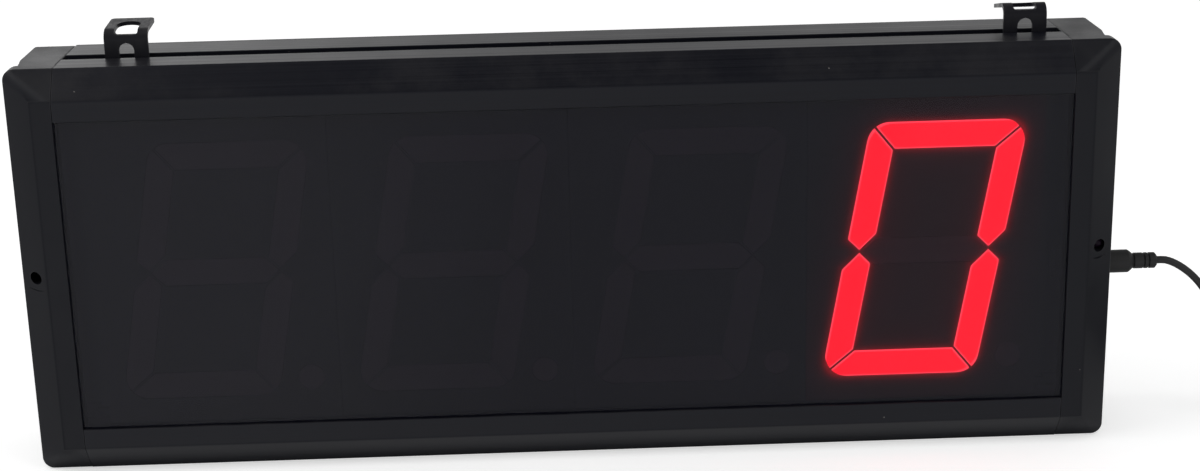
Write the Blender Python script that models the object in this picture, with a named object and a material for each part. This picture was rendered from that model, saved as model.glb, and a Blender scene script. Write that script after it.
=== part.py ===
"""A four-digit wall counter: two aluminium rails, two moulded end caps, a smoked window over four
seven-segment modules, hanging lugs in the top rail's T-slot, and a DC lead with its wall adapter.

Metres, +Z up. X runs along the rails, the window faces -Y, and the case stands on Z = 0 with its
middle at X = Y = 0. "Depth" is measured backwards from the front of the frame, "out" is measured
outwards from the window's edge.
"""

import math

import bmesh
import bpy
from mathutils import Matrix, Vector

# Case
WINDOW_WIDTH = 0.381
WINDOW_HEIGHT = 0.122
RAIL_HEIGHT = 0.019
CAP_WIDTH = 0.019
CASE_DEPTH = 0.052
JOINT_GAP = 0.0003
FIT_GAP = 0.0003

# Front of the frame: a flat band round the window, then a slope back to the outer edge
BEZEL_FLAT = 0.0079
BEZEL_SETBACK = 0.0083
BEZEL_BEND = 0.0022
BEND_STEPS = 4
LIP_EASE = 0.00035
RAIL_EDGE_EASE = 0.0004
CAP_EDGE_EASE = 0.0013

# Rail profile
LIP_THICKNESS = 0.0012
GROOVE_DEPTH = 0.0046
RIB_THICKNESS = 0.0012
RIB_START = 0.0012
WALL = 0.0016
SLOT_SETBACK = 0.0155
SLOT_MOUTH = 0.0078
SLOT_LIP = 0.0018
CHANNEL_WIDTH = 0.0154
CHANNEL_HEIGHT = 0.0028
PORT_RADIUS = 0.00175
PORT_WALL = 0.0016
PORT_OUT = 0.0095
PORT_SIDES = 12

# Sheets that slide in the grooves
WINDOW_THICKNESS = 0.0025
PANEL_THICKNESS = 0.002
BOARD_THICKNESS = 0.0016
SHEET_INSERT = 0.003
BOARD_END_GAP = 0.0015

# End caps
CAP_WALL = 0.0022
CAP_CORNER = 0.0045
CAP_CORNER_STEPS = 5
FLANGE_THICKNESS = 0.0067
FLANGE_STEP = 0.0026
SIDE_GROOVE_DEPTH = 0.002
SIDE_GROOVE_LENGTH = 0.012
CAP_BODY_DROP = 0.0003
CAP_REAR_ROUND = 0.0016
CAP_TOP_ROUND = 0.0008
POCKET_FRONT = 0.0095
BOSS_RADIUS = 0.0036
SENSOR_HOLE_RADIUS = 0.0025
SENSOR_HOLE_INSET = 0.0061
SENSOR_HOLE_DEPTH = 0.0135
SENSOR_LEG_LENGTH = 0.006
NOTCH_RADIUS = 0.0102
NOTCH_DROP = 0.0051
NOTCH_RISE = 0.0009
NOTCH_DEPTH = 0.00035
NOTCH_SIDES = 48

# Cap screws
SCREW_RADIUS = 0.00145
SCREW_HEAD_RADIUS = 0.003
SCREW_HEAD_HEIGHT = 0.0021
SCREW_SINK = 0.0016
SCREW_BITE = 0.008
SCREW_CROSS_WIDTH = 0.0008
SCREW_CROSS_LENGTH = 0.0034
SCREW_CROSS_DEPTH = 0.0011
SCREW_SIDES = 16

# Digit modules
MODULE_COUNT = 4
MODULE_END_SPACE = 0.0095
MODULE_DEPTH = 0.0224
MODULE_SIDE_GAP = 0.0003
MODULE_FACE_GAP = 0.001
MODULE_BACK_RIM = 0.003
MODULE_BACK_RECESS = 0.004
DIGIT_HEIGHT = 0.1016
DIGIT_WIDTH = 0.0602
DIGIT_STROKE = 0.0103
DIGIT_SLANT = math.radians(10)
DIGIT_CORNER = 0.0084
DIGIT_CORNER_STEPS = 8
SEGMENT_GAP = 0.001
SEGMENT_THICKNESS = 0.003
SEGMENT_FIT = 0.0002
POINT_RADIUS = 0.005
POINT_X = 0.034
POINT_DROP = 0.044
POINT_SIDES = 32

# Display board
CHIP_SIZE = (0.0105, 0.0076, 0.0025)
CHIP_DROP = 0.018
BUZZER_RADIUS = 0.006
BUZZER_HEIGHT = 0.0085
SOCKET_SIZE = (0.012, 0.008, 0.006)

# Hanging lugs
LUG_WIDTH = 0.0165
LUG_THICKNESS = 0.0015
LUG_TOE = 0.0043
LUG_FOOT_BEND = 0.0016
LUG_TOP_BEND = 0.0037
LUG_RISE = 0.0107
LUG_FLANGE_LENGTH = 0.0144
LUG_FLANGE_ROUND = 0.0018
LUG_ARCH_WIDTH = 0.0058
LUG_ARCH_RISE = 0.0055
LUG_SLOT_WIDTH = 0.0088
LUG_SLOT_SILL = 0.0086
LUG_SLOT_REACH = 0.0128
LUG_SLOT_CORNER = 0.0011
LUG_TONGUE_LENGTH = 0.0092
LEFT_LUG_INSET = 0.0248
RIGHT_LUG_INSET = 0.0143
LEFT_FLANGE_TILT = math.radians(4)
RIGHT_FLANGE_TILT = math.radians(-12)

# DC socket, plug, lead and adapter
JACK_DEPTH = 0.031
JACK_DROP = 0.0155
JACK_BUSH_RADIUS = 0.004
JACK_BODY_RADIUS = 0.0055
JACK_BODY_LENGTH = 0.010
JACK_BORE_RADIUS = 0.00305
JACK_BORE_DEPTH = 0.0102
JACK_PIN_RADIUS = 0.001
JACK_PIN_SINK = 0.001
PLUG_BARREL_RADIUS = 0.00275
PLUG_BARREL_BORE = 0.0013
PLUG_BARREL_LENGTH = 0.0095
PLUG_RADIUS = 0.0046
PLUG_LENGTH = 0.0153
PLUG_EDGE = 0.0005
PLUG_TAPER = 0.002
RELIEF_RADIUS = 0.0032
RELIEF_GROOVE = 0.0005
RELIEF_BANDS = ((0.0005, 0.0041, 0.0005), (0.0045, 0.0060, 0.0005), (0.0065, 0.0097, 0.0009))
TURNED_SIDES = 20
SMOOTH_UNDER = math.radians(30)
LEAD_RADIUS = 0.0015
LEAD_POINT_STEP = 0.0065
COIL_TURNS_PER_LAYER = 3.25
COIL_LAYERS = 4
COIL_STEP = 0.0036
COIL_OUTER = 0.0225
COIL_POINTS = 24
COIL_CENTRE = (0.302, 0.001)
FLOOR_GAP = 0.0002
COIL_END_STRAIGHT = 0.012
ADAPTER_SIZE = (0.070, 0.046, 0.028)
ADAPTER_ROUND = 0.004
ADAPTER_RELIEF_LENGTH = 0.015
ADAPTER_RELIEF_RADIUS = 0.0036
ADAPTER_RELIEF_END_RADIUS = 0.0027
ADAPTER_RELIEF_RIBS = 5
BLADE_SIZE = (0.016, 0.0015, 0.0063)
BLADE_SPACING = 0.0127

CASE_HEIGHT = WINDOW_HEIGHT + 2 * RAIL_HEIGHT
MIDDLE = CASE_HEIGHT / 2
JOINT_X = WINDOW_WIDTH / 2 + JOINT_GAP / 2
CAP_SPREAD = (CAP_WIDTH - JOINT_GAP / 2) / RAIL_HEIGHT
RAIL_LENGTH = WINDOW_WIDTH - JOINT_GAP
MODULE_PITCH = (WINDOW_WIDTH - 2 * MODULE_END_SPACE) / MODULE_COUNT
CAP_OUTER_X = WINDOW_WIDTH / 2 + CAP_WIDTH
CAP_SIDE_X = CAP_OUTER_X - FLANGE_STEP
FLANGE_BACK = BEZEL_SETBACK + FLANGE_THICKNESS
POCKET_SIDE_X = CAP_SIDE_X - SIDE_GROOVE_DEPTH - CAP_WALL
WINDOW_FRONT = LIP_THICKNESS + FIT_GAP
WINDOW_BACK = WINDOW_FRONT + WINDOW_THICKNESS
MODULE_FRONT = WINDOW_BACK + MODULE_FACE_GAP
BOARD_FRONT = MODULE_FRONT + MODULE_DEPTH + FIT_GAP
BOARD_BACK = BOARD_FRONT + BOARD_THICKNESS
PANEL_BACK = CASE_DEPTH - LIP_THICKNESS - FIT_GAP
PANEL_FRONT = PANEL_BACK - PANEL_THICKNESS
SHEET_HEIGHT = WINDOW_HEIGHT + 2 * (GROOVE_DEPTH - FIT_GAP)
SLOT_FRONT = BEZEL_SETBACK + SLOT_SETBACK
SLOT_BACK = SLOT_FRONT + SLOT_MOUTH
CHANNEL_FRONT = (SLOT_FRONT + SLOT_BACK - CHANNEL_WIDTH) / 2
CHANNEL_BACK = CHANNEL_FRONT + CHANNEL_WIDTH
CHANNEL_TOP = RAIL_HEIGHT - SLOT_LIP
CHANNEL_FLOOR = CHANNEL_TOP - CHANNEL_HEIGHT
PORT_DEPTHS = ((CHANNEL_FRONT + CHANNEL_BACK) / 2, (CHANNEL_BACK + CASE_DEPTH) / 2)
PLUG_FACE_X = CAP_SIDE_X + FIT_GAP
RELIEF_END_X = PLUG_FACE_X + PLUG_LENGTH + PLUG_TAPER + RELIEF_BANDS[-1][1]
JACK_Z = MIDDLE - JACK_DROP


def y_at(depth):
    """World Y of a depth behind the frame's front."""
    return depth - CASE_DEPTH / 2


def clear_scene():
    for obj in list(bpy.data.objects):
        bpy.data.objects.remove(obj)


def finish_material(name, color, roughness, metallic=0.0):
    """A Principled material with the piece's own colour and gloss."""
    made = bpy.data.materials.new(name)
    made.use_nodes = True
    shader = made.node_tree.nodes["Principled BSDF"]
    shader.inputs["Base Color"].default_value = (*color, 1)
    shader.inputs["Roughness"].default_value = roughness
    shader.inputs["Metallic"].default_value = metallic
    return made


def add_object(name, data, made_of, helper=False):
    obj = bpy.data.objects.new(name, data)
    bpy.context.scene.collection.objects.link(obj)
    if made_of is not None and not obj.data.materials:
        obj.data.materials.append(made_of)
    if helper:
        obj.hide_render = True
        obj.display_type = "WIRE"
    return obj


def mesh_from(name, built):
    """A mesh from a bmesh, with merged points and outward faces."""
    bmesh.ops.remove_doubles(built, verts=built.verts, dist=1e-7)
    bmesh.ops.dissolve_degenerate(built, edges=built.edges, dist=1e-7)
    bmesh.ops.recalc_face_normals(built, faces=built.faces)
    data = bpy.data.meshes.new(name)
    built.to_mesh(data)
    built.free()
    return data


def prism_mesh(name, outline, low, high, place):
    """A closed solid between two copies of an outline. place(a, b, level) gives each point."""
    built = bmesh.new()
    rings = [[built.verts.new(place(a, b, level)) for a, b in outline] for level in (low, high)]
    built.faces.new(rings[0])
    built.faces.new(rings[1])
    count = len(outline)
    for i in range(count):
        j = (i + 1) % count
        built.faces.new((rings[0][i], rings[0][j], rings[1][j], rings[1][i]))
    return mesh_from(name, built)


def along_x(a, b, level):
    """An outline of (depth, height) points, extruded along X."""
    return Vector((level, y_at(a), b))


def along_y(a, b, level):
    """An outline of (x, height) points, extruded through the depth."""
    return Vector((a, y_at(level), b))


def along_z(a, b, level):
    """An outline of (x, depth) points, extruded upwards."""
    return Vector((a, y_at(b), level))


def box_mesh(name, low, high):
    """A box from (x, depth, z) to (x, depth, z)."""
    outline = [(low[0], low[1]), (high[0], low[1]), (high[0], high[1]), (low[0], high[1])]
    return prism_mesh(name, outline, low[2], high[2], along_z)


def circle(centre, radius, sides):
    return [
        (
            centre[0] + radius * math.cos(2 * math.pi * i / sides),
            centre[1] + radius * math.sin(2 * math.pi * i / sides),
        )
        for i in range(sides)
    ]


def arc(centre, radius, start, end, steps):
    """Points on an arc between two angles, in degrees."""
    return [
        (
            centre[0] + radius * math.cos(math.radians(start + (end - start) * i / steps)),
            centre[1] + radius * math.sin(math.radians(start + (end - start) * i / steps)),
        )
        for i in range(steps + 1)
    ]


def turned_mesh(name, profile, origin, axis, sides=TURNED_SIDES):
    """A solid of revolution. The profile is (distance along the axis, radius), end to end."""
    built = bmesh.new()
    axis = Vector(axis).normalized()
    side = axis.orthogonal().normalized()
    other = axis.cross(side)
    rings = []
    for along, radius in profile:
        centre = Vector(origin) + axis * along
        ring = []
        for i in range(sides):
            turn = 2 * math.pi * i / sides
            ring.append(built.verts.new(centre + radius * (math.cos(turn) * side + math.sin(turn) * other)))
        rings.append(ring)
    for first, second in zip(rings, rings[1:]):
        for i in range(sides):
            j = (i + 1) % sides
            built.faces.new((first[i], first[j], second[j], second[i]))
    for ring, (_, radius) in zip((rings[0], rings[-1]), (profile[0], profile[-1])):
        if radius > 0:
            built.faces.new(ring)
    return mesh_from(name, built)


def boolean(target, cutter, operation="DIFFERENCE"):
    modifier = target.modifiers.new(cutter.name, "BOOLEAN")
    modifier.operation = operation
    modifier.object = cutter


def cut(target, name, data):
    boolean(target, add_object(name, data, None, helper=True))


def join(target, name, data):
    boolean(target, add_object(name, data, None, helper=True), "UNION")


def shade(obj):
    """Smooth shading on round faces, with the sharp edges kept."""
    obj.data.shade_smooth()
    obj.data.set_sharp_from_angle(angle=SMOOTH_UNDER)


def bezel_points(edge_ease):
    """The frame's front as (out, depth) points, from the window's edge to the outer edge."""
    slope = math.atan2(BEZEL_SETBACK, RAIL_HEIGHT - BEZEL_FLAT)
    tangent = BEZEL_BEND * math.tan(slope / 2)
    points = [(0.0, LIP_EASE), (LIP_EASE, 0.0)]
    for step in range(BEND_STEPS + 1):
        turn = slope * step / BEND_STEPS
        out = BEZEL_FLAT - tangent + BEZEL_BEND * math.sin(turn)
        points.append((out, BEZEL_BEND * (1 - math.cos(turn))))
    ease = edge_ease * math.tan((math.pi / 2 - slope) / 2)
    start = (RAIL_HEIGHT - ease * math.cos(slope), BEZEL_SETBACK - ease * math.sin(slope))
    for step in range(3):
        turn = slope + (math.pi / 2 - slope) * step / 2
        points.append(
            (
                start[0] + edge_ease * (math.sin(turn) - math.sin(slope)),
                start[1] + edge_ease * (math.cos(slope) - math.cos(turn)),
            )
        )
    return points


def groove_ribs():
    """Inner side of the rail as (depth, out) points, from the back of the case to the front."""
    panel_rib = PANEL_FRONT - FIT_GAP
    board_rear_rib = BOARD_BACK + FIT_GAP
    board_front_rib = BOARD_FRONT - FIT_GAP
    window_rib = WINDOW_BACK + FIT_GAP
    points = [(CASE_DEPTH, 0), (CASE_DEPTH - LIP_THICKNESS, 0), (CASE_DEPTH - LIP_THICKNESS, GROOVE_DEPTH)]
    for back, front in (
        (panel_rib, panel_rib - RIB_THICKNESS),
        (board_rear_rib + RIB_THICKNESS, board_rear_rib),
        (board_front_rib, board_front_rib - RIB_THICKNESS),
        (window_rib + RIB_THICKNESS, window_rib),
    ):
        points += [(back, GROOVE_DEPTH), (back, RIB_START), (front, RIB_START), (front, GROOVE_DEPTH)]
    points += [(LIP_THICKNESS, GROOVE_DEPTH), (LIP_THICKNESS, 0)]
    return points


def rail_outline():
    """The rail's outer contour as (depth, out) points."""
    points = [(depth, out) for out, depth in bezel_points(RAIL_EDGE_EASE)]
    points += [
        (SLOT_FRONT, RAIL_HEIGHT),
        (SLOT_FRONT, CHANNEL_TOP),
        (CHANNEL_FRONT, CHANNEL_TOP),
        (CHANNEL_FRONT, CHANNEL_FLOOR),
        (CHANNEL_BACK, CHANNEL_FLOOR),
        (CHANNEL_BACK, CHANNEL_TOP),
        (SLOT_BACK, CHANNEL_TOP),
        (SLOT_BACK, RAIL_HEIGHT),
        (CASE_DEPTH - RAIL_EDGE_EASE, RAIL_HEIGHT),
        (CASE_DEPTH, RAIL_HEIGHT - RAIL_EDGE_EASE),
    ]
    return points + groove_ribs()


def rail_chambers():
    """The hollows of the rail, with room left round the two screw ports."""
    floor = GROOVE_DEPTH + WALL
    roof = RAIL_HEIGHT - WALL
    slope = math.atan2(BEZEL_SETBACK, RAIL_HEIGHT - BEZEL_FLAT)
    shift = WALL / math.cos(slope)
    front_web = CHANNEL_FRONT - WALL
    rear_web = CHANNEL_BACK + WALL
    front = [
        (WALL, floor),
        (WALL, max(floor + WALL / 4, BEZEL_FLAT + (WALL - shift) / math.tan(slope))),
        ((roof - BEZEL_FLAT) * math.tan(slope) + shift, roof),
        (front_web, roof),
        (front_web, floor),
    ]
    boss = PORT_RADIUS + PORT_WALL
    middle_roof = CHANNEL_FLOOR - WALL
    middle_halves = [
        [
            (CHANNEL_FRONT, floor),
            (CHANNEL_FRONT, middle_roof),
            (PORT_DEPTHS[0] - boss, middle_roof),
            (PORT_DEPTHS[0] - boss, floor),
        ],
        [
            (PORT_DEPTHS[0] + boss, floor),
            (PORT_DEPTHS[0] + boss, middle_roof),
            (CHANNEL_BACK, middle_roof),
            (CHANNEL_BACK, floor),
        ],
    ]
    rear_wall = CASE_DEPTH - WALL
    opening = math.degrees(math.asin((PORT_OUT - floor) / boss))
    round_port = arc((PORT_DEPTHS[1], PORT_OUT), boss, 180 + opening, -opening, 8)
    rear = [(rear_web, floor), (rear_web, roof), (rear_wall, roof), (rear_wall, floor)]
    rear += list(reversed(round_port))
    return [front, *middle_halves, rear]


def build_rail(name, made_of, turned_over):
    """One length of the profile: its contour, its hollows and its screw ports in one flat curve, extruded."""
    data = bpy.data.curves.new(name, "CURVE")
    data.dimensions = "2D"
    data.fill_mode = "BOTH"
    data.extrude = RAIL_LENGTH / 2
    ports = [circle((depth, PORT_OUT), PORT_RADIUS, PORT_SIDES) for depth in PORT_DEPTHS]
    for outline in [rail_outline(), *rail_chambers(), *ports]:
        spline = data.splines.new("POLY")
        spline.points.add(len(outline) - 1)
        for point, (depth, out) in zip(spline.points, outline):
            point.co = (depth, out, 0, 1)
        spline.use_cyclic_u = True
    rail = add_object(name, data, made_of)
    upright = Matrix(((0, 0, 1), (1, 0, 0), (0, 1, 0))).to_4x4()
    over = Matrix.Rotation(math.pi, 4, "Y") if turned_over else Matrix.Identity(4)
    level = RAIL_HEIGHT if turned_over else CASE_HEIGHT - RAIL_HEIGHT
    rail.matrix_world = Matrix.Translation((0, y_at(0), level)) @ over @ upright
    return rail


def cap_ring(out, depth, side):
    """One line of points round a cap's three outer sides, from the top joint to the bottom joint."""
    half_width = JOINT_X + out * CAP_SPREAD
    half_height = WINDOW_HEIGHT / 2 + out
    radius = max(0.0, out - (RAIL_HEIGHT - CAP_CORNER))
    line = [(JOINT_X, half_height)]
    line += arc((half_width - radius, half_height - radius), radius, 90, 0, CAP_CORNER_STEPS)
    line += arc((half_width - radius, radius - half_height), radius, 0, -90, CAP_CORNER_STEPS)
    line.append((JOINT_X, -half_height))
    return [Vector((side * x, y_at(depth), MIDDLE + z)) for x, z in line]


def cap_flange_mesh(name, side):
    """The moulded front of a cap: the frame's front turned round the window's end, and its thick rim."""
    built = bmesh.new()
    stations = bezel_points(CAP_EDGE_EASE) + [(RAIL_HEIGHT, FLANGE_BACK)]
    rings = [[built.verts.new(point) for point in cap_ring(out, depth, side)] for out, depth in stations]
    for first, second in zip(rings, rings[1:]):
        for i in range(len(first) - 1):
            built.faces.new((first[i], first[i + 1], second[i + 1], second[i]))
    built.faces.new(rings[-1])
    built.faces.new([ring[0] for ring in rings] + [ring[-1] for ring in reversed(rings)])
    return mesh_from(name, built)


def cap_body_mesh(name, side):
    """The cap's rear body in plan, with the tapered groove behind the flange, extruded to full height."""
    outline = [
        (JOINT_X, FLANGE_BACK - CAP_WALL),
        (CAP_SIDE_X - SIDE_GROOVE_DEPTH, FLANGE_BACK - CAP_WALL),
        (CAP_SIDE_X - SIDE_GROOVE_DEPTH, FLANGE_BACK),
        (CAP_SIDE_X, FLANGE_BACK + SIDE_GROOVE_LENGTH),
    ]
    centre = (CAP_SIDE_X - CAP_REAR_ROUND, CASE_DEPTH - CAP_REAR_ROUND)
    outline += arc(centre, CAP_REAR_ROUND, 0, 90, 3)
    outline.append((JOINT_X, CASE_DEPTH))
    outline = [(side * x, depth) for x, depth in outline]
    data = prism_mesh(name, outline, CAP_BODY_DROP, CASE_HEIGHT - CAP_BODY_DROP, along_z)
    built = bmesh.new()
    built.from_mesh(data)
    rims = []
    for edge in built.edges:
        middle = (edge.verts[0].co + edge.verts[1].co) / 2
        level = abs(edge.verts[0].co.z - edge.verts[1].co.z) < FIT_GAP
        if level and middle.y > y_at(FLANGE_BACK) + FIT_GAP and abs(middle.x) > JOINT_X + FIT_GAP:
            rims.append(edge)
    bmesh.ops.bevel(built, geom=rims, offset=CAP_TOP_ROUND, segments=2, profile=0.5, affect="EDGES")
    built.to_mesh(data)
    built.free()
    return data


def notch_mesh(name, side):
    """A tilted disc whose rim dips into the cap's slope and leaves a crescent below the sensor hole."""
    run = (RAIL_HEIGHT - BEZEL_FLAT) * CAP_SPREAD
    slope = math.atan2(BEZEL_SETBACK, run)
    x = CAP_OUTER_X - SENSOR_HOLE_INSET
    depth = BEZEL_SETBACK - SENSOR_HOLE_INSET * math.tan(slope)
    outward = Vector((side * math.sin(slope), -math.cos(slope), 0))
    upward = Vector((0, 0, 1))
    tilt = math.atan2(NOTCH_DEPTH, NOTCH_RISE)
    lowest = Vector((side * x, y_at(depth), MIDDLE)) - upward * NOTCH_DROP - outward * NOTCH_DEPTH
    centre = lowest + (upward * math.cos(tilt) + outward * math.sin(tilt)) * NOTCH_RADIUS
    axis = outward * math.cos(tilt) - upward * math.sin(tilt)
    return turned_mesh(name, [(0, NOTCH_RADIUS), (CAP_WALL, NOTCH_RADIUS)], centre, axis, NOTCH_SIDES)


def build_cap(name, side, made_of):
    """An end cap: flange and body, hollow towards the rails, with a boss for each screw."""
    cap = add_object(name, cap_flange_mesh(name, side), made_of)
    join(cap, name + "_body", cap_body_mesh(name + "_body", side))
    beyond = CAP_WALL
    low_x, high_x = sorted((side * (JOINT_X - beyond), side * POCKET_SIDE_X))
    pocket_low = (low_x, POCKET_FRONT, CAP_WALL)
    pocket_high = (high_x, CASE_DEPTH - CAP_WALL, CASE_HEIGHT - CAP_WALL)
    cut(cap, name + "_pocket", box_mesh(name + "_pocket", pocket_low, pocket_high))
    low_x, high_x = sorted((side * (JOINT_X - beyond), side * (WINDOW_WIDTH / 2 + SHEET_INSERT + FIT_GAP)))
    half_sheet = SHEET_HEIGHT / 2 + FIT_GAP
    for tag, front, back in (
        ("_window_groove", WINDOW_FRONT - FIT_GAP, WINDOW_BACK + FIT_GAP),
        ("_panel_groove", CASE_DEPTH - 2 * CAP_WALL, PANEL_BACK + FIT_GAP),
    ):
        low = (low_x, front, MIDDLE - half_sheet)
        high = (high_x, back, MIDDLE + half_sheet)
        cut(cap, name + tag, box_mesh(name + tag, low, high))
    for number, (depth, height) in enumerate(screw_places()):
        tag = f"{name}_boss_{number}"
        start = (side * JOINT_X, y_at(depth), height)
        reach = POCKET_SIDE_X + CAP_WALL / 2 - JOINT_X
        join(cap, tag, turned_mesh(tag, [(0, BOSS_RADIUS), (reach, BOSS_RADIUS)], start, (side, 0, 0)))
    for number, (depth, height) in enumerate(screw_places()):
        tag = f"{name}_screw_hole_{number}"
        start = (side * (JOINT_X - beyond), y_at(depth), height)
        length = CAP_SIDE_X - JOINT_X + 2 * beyond
        seat = length - beyond - SCREW_SINK
        hole = SCREW_RADIUS + FIT_GAP
        head_hole = SCREW_HEAD_RADIUS + FIT_GAP
        profile = [(0, hole), (seat, hole), (seat, head_hole), (length, head_hole)]
        cut(cap, tag, turned_mesh(tag, profile, start, (side, 0, 0), SCREW_SIDES))
    sensor_x = side * (CAP_OUTER_X - SENSOR_HOLE_INSET)
    profile = [(-beyond, SENSOR_HOLE_RADIUS), (SENSOR_HOLE_DEPTH, SENSOR_HOLE_RADIUS)]
    data = turned_mesh(name + "_sensor_hole", profile, (sensor_x, y_at(0), MIDDLE), (0, 1, 0))
    cut(cap, name + "_sensor_hole", data)
    low_x, high_x = sorted((side * (POCKET_SIDE_X - FIT_GAP), sensor_x))
    low = (low_x, POCKET_FRONT - FIT_GAP, MIDDLE - SENSOR_HOLE_RADIUS)
    high = (high_x, SENSOR_HOLE_DEPTH, MIDDLE + SENSOR_HOLE_RADIUS)
    cut(cap, name + "_sensor_slot", box_mesh(name + "_sensor_slot", low, high))
    cut(cap, name + "_notch", notch_mesh(name + "_notch", side))
    return cap


def screw_places():
    """(depth, height) of the four screws of a cap, in line with the rails' ports."""
    heights = (RAIL_HEIGHT - PORT_OUT, CASE_HEIGHT - RAIL_HEIGHT + PORT_OUT)
    return [(depth, height) for height in heights for depth in PORT_DEPTHS]


def build_screws(made_of):
    """Pan-head screws through the caps' sides into the rails' ports."""
    shank_end = CAP_SIDE_X - SCREW_SINK + FIT_GAP - (WINDOW_WIDTH / 2 - SCREW_BITE)
    crown = SCREW_HEAD_RADIUS * 0.72
    profile = [
        (-shank_end, 0),
        (-shank_end, SCREW_RADIUS * 0.5),
        (-shank_end + SCREW_RADIUS, SCREW_RADIUS),
        (0, SCREW_RADIUS),
        (0, SCREW_HEAD_RADIUS),
        (SCREW_HEAD_HEIGHT * 0.55, SCREW_HEAD_RADIUS),
        (SCREW_HEAD_HEIGHT, crown),
        (SCREW_HEAD_HEIGHT, 0),
    ]
    for side, side_name in ((-1, "left"), (1, "right")):
        data = turned_mesh("cap_screw_" + side_name, profile, (0, 0, 0), (side, 0, 0), SCREW_SIDES)
        for number, (depth, height) in enumerate(screw_places(), start=1):
            screw = add_object(f"{side_name}_cap_screw_{number}", data, made_of)
            screw.location = (side * (CAP_SIDE_X - SCREW_SINK + FIT_GAP), y_at(depth), height)
            for turn, (wide, high) in enumerate(((1, 0), (0, 1))):
                tag = f"{screw.name}_cross_{turn}"
                half_y = (SCREW_CROSS_LENGTH if wide else SCREW_CROSS_WIDTH) / 2
                half_z = (SCREW_CROSS_LENGTH if high else SCREW_CROSS_WIDTH) / 2
                top = screw.location.x + side * SCREW_HEAD_HEIGHT
                low_x, high_x = sorted((top - side * SCREW_CROSS_DEPTH, top + side * SCREW_HEAD_HEIGHT))
                low = (low_x, depth - half_y, height - half_z)
                high_point = (high_x, depth + half_y, height + half_z)
                cut(screw, tag, box_mesh(tag, low, high_point))


def clip(outline, point, normal):
    """The part of a convex outline on the side that the normal points to."""
    kept = []
    for i, here in enumerate(outline):
        there = outline[(i + 1) % len(outline)]
        side_here = (here[0] - point[0]) * normal[0] + (here[1] - point[1]) * normal[1]
        side_there = (there[0] - point[0]) * normal[0] + (there[1] - point[1]) * normal[1]
        if side_here >= 0:
            kept.append(here)
        if side_here * side_there < 0:
            share = side_here / (side_here - side_there)
            kept.append((here[0] + share * (there[0] - here[0]), here[1] + share * (there[1] - here[1])))
    return kept


def slanted(u, w):
    return (u + w * math.tan(DIGIT_SLANT), w)


def rounded_digit_outline(grow):
    """The outer outline of a digit: a slanted box with round corners, grown by a clearance."""
    half_width = DIGIT_WIDTH / 2 + grow
    half_height = DIGIT_HEIGHT / 2 + grow
    radius = DIGIT_CORNER + grow
    lean = DIGIT_SLANT
    points = []
    for right, top, start, end in (
        (1, 1, 90, -math.degrees(lean)),
        (1, -1, -math.degrees(lean), -90),
        (-1, -1, -90, -180 - math.degrees(lean)),
        (-1, 1, -180 - math.degrees(lean), -270),
    ):
        w = top * (half_height - radius)
        edge = right * half_width + w * math.tan(lean)
        x = edge - right * radius / math.cos(lean)
        points += arc((x, w), radius, start, end, DIGIT_CORNER_STEPS)
    return points


def segment_outlines(grow=0.0):
    """The seven segments and the point as outlines about the digit's middle, grown by a clearance."""
    outer = rounded_digit_outline(grow)
    inner_u = DIGIT_WIDTH / 2 - DIGIT_STROKE - grow
    inner_w = DIGIT_HEIGHT / 2 - DIGIT_STROKE - grow
    middle_u = (DIGIT_WIDTH - DIGIT_STROKE) / 2
    part = SEGMENT_GAP / 2 - grow
    lean = math.tan(DIGIT_SLANT)
    corner_u = DIGIT_WIDTH / 2 - DIGIT_STROKE
    corner_w = DIGIT_HEIGHT / 2 - DIGIT_STROKE

    def mitre(right, top, keep_side):
        """A cut along the diagonal of a corner. keep_side is 1 for the level segment, -1 for the upright."""
        inner = slanted(right * corner_u, top * corner_w)
        outer_point = slanted(right * DIGIT_WIDTH / 2, top * DIGIT_HEIGHT / 2)
        along = Vector(outer_point) - Vector(inner)
        along.normalize()
        normal = Vector((-along.y, along.x)) * (right * top) * keep_side
        return (inner[0] + normal.x * part, inner[1] + normal.y * part), (normal.x, normal.y)

    def tip(right, rise, towards):
        """A 45 degree cut at a tip on the digit's middle line."""
        normal = Vector((towards, rise)).normalized()
        at = (right * middle_u + normal.x * part, normal.y * part)
        return at, (normal.x, normal.y)

    outlines = {}
    for name, top in (("a", 1), ("d", -1)):
        shape = clip(outer, (0, top * inner_w), (0, top))
        for right in (-1, 1):
            shape = clip(shape, *mitre(right, top, 1))
        outlines[name] = shape
    for name, right, top in (("b", 1, 1), ("c", 1, -1), ("e", -1, -1), ("f", -1, 1)):
        shape = clip(outer, slanted(right * inner_u, 0), (right, -right * lean))
        shape = clip(shape, *mitre(right, top, -1))
        for towards in (-1, 1):
            shape = clip(shape, *tip(right, top, towards))
        outlines[name] = shape
    half = DIGIT_STROKE / 2 + grow
    shape = [(-DIGIT_WIDTH, -half), (DIGIT_WIDTH, -half), (DIGIT_WIDTH, half), (-DIGIT_WIDTH, half)]
    for right in (-1, 1):
        for rise in (-1, 1):
            shape = clip(shape, *tip(right, rise, -right))
    outlines["g"] = shape
    outlines["point"] = circle((POINT_X, -POINT_DROP), POINT_RADIUS + grow, POINT_SIDES)
    return outlines


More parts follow.
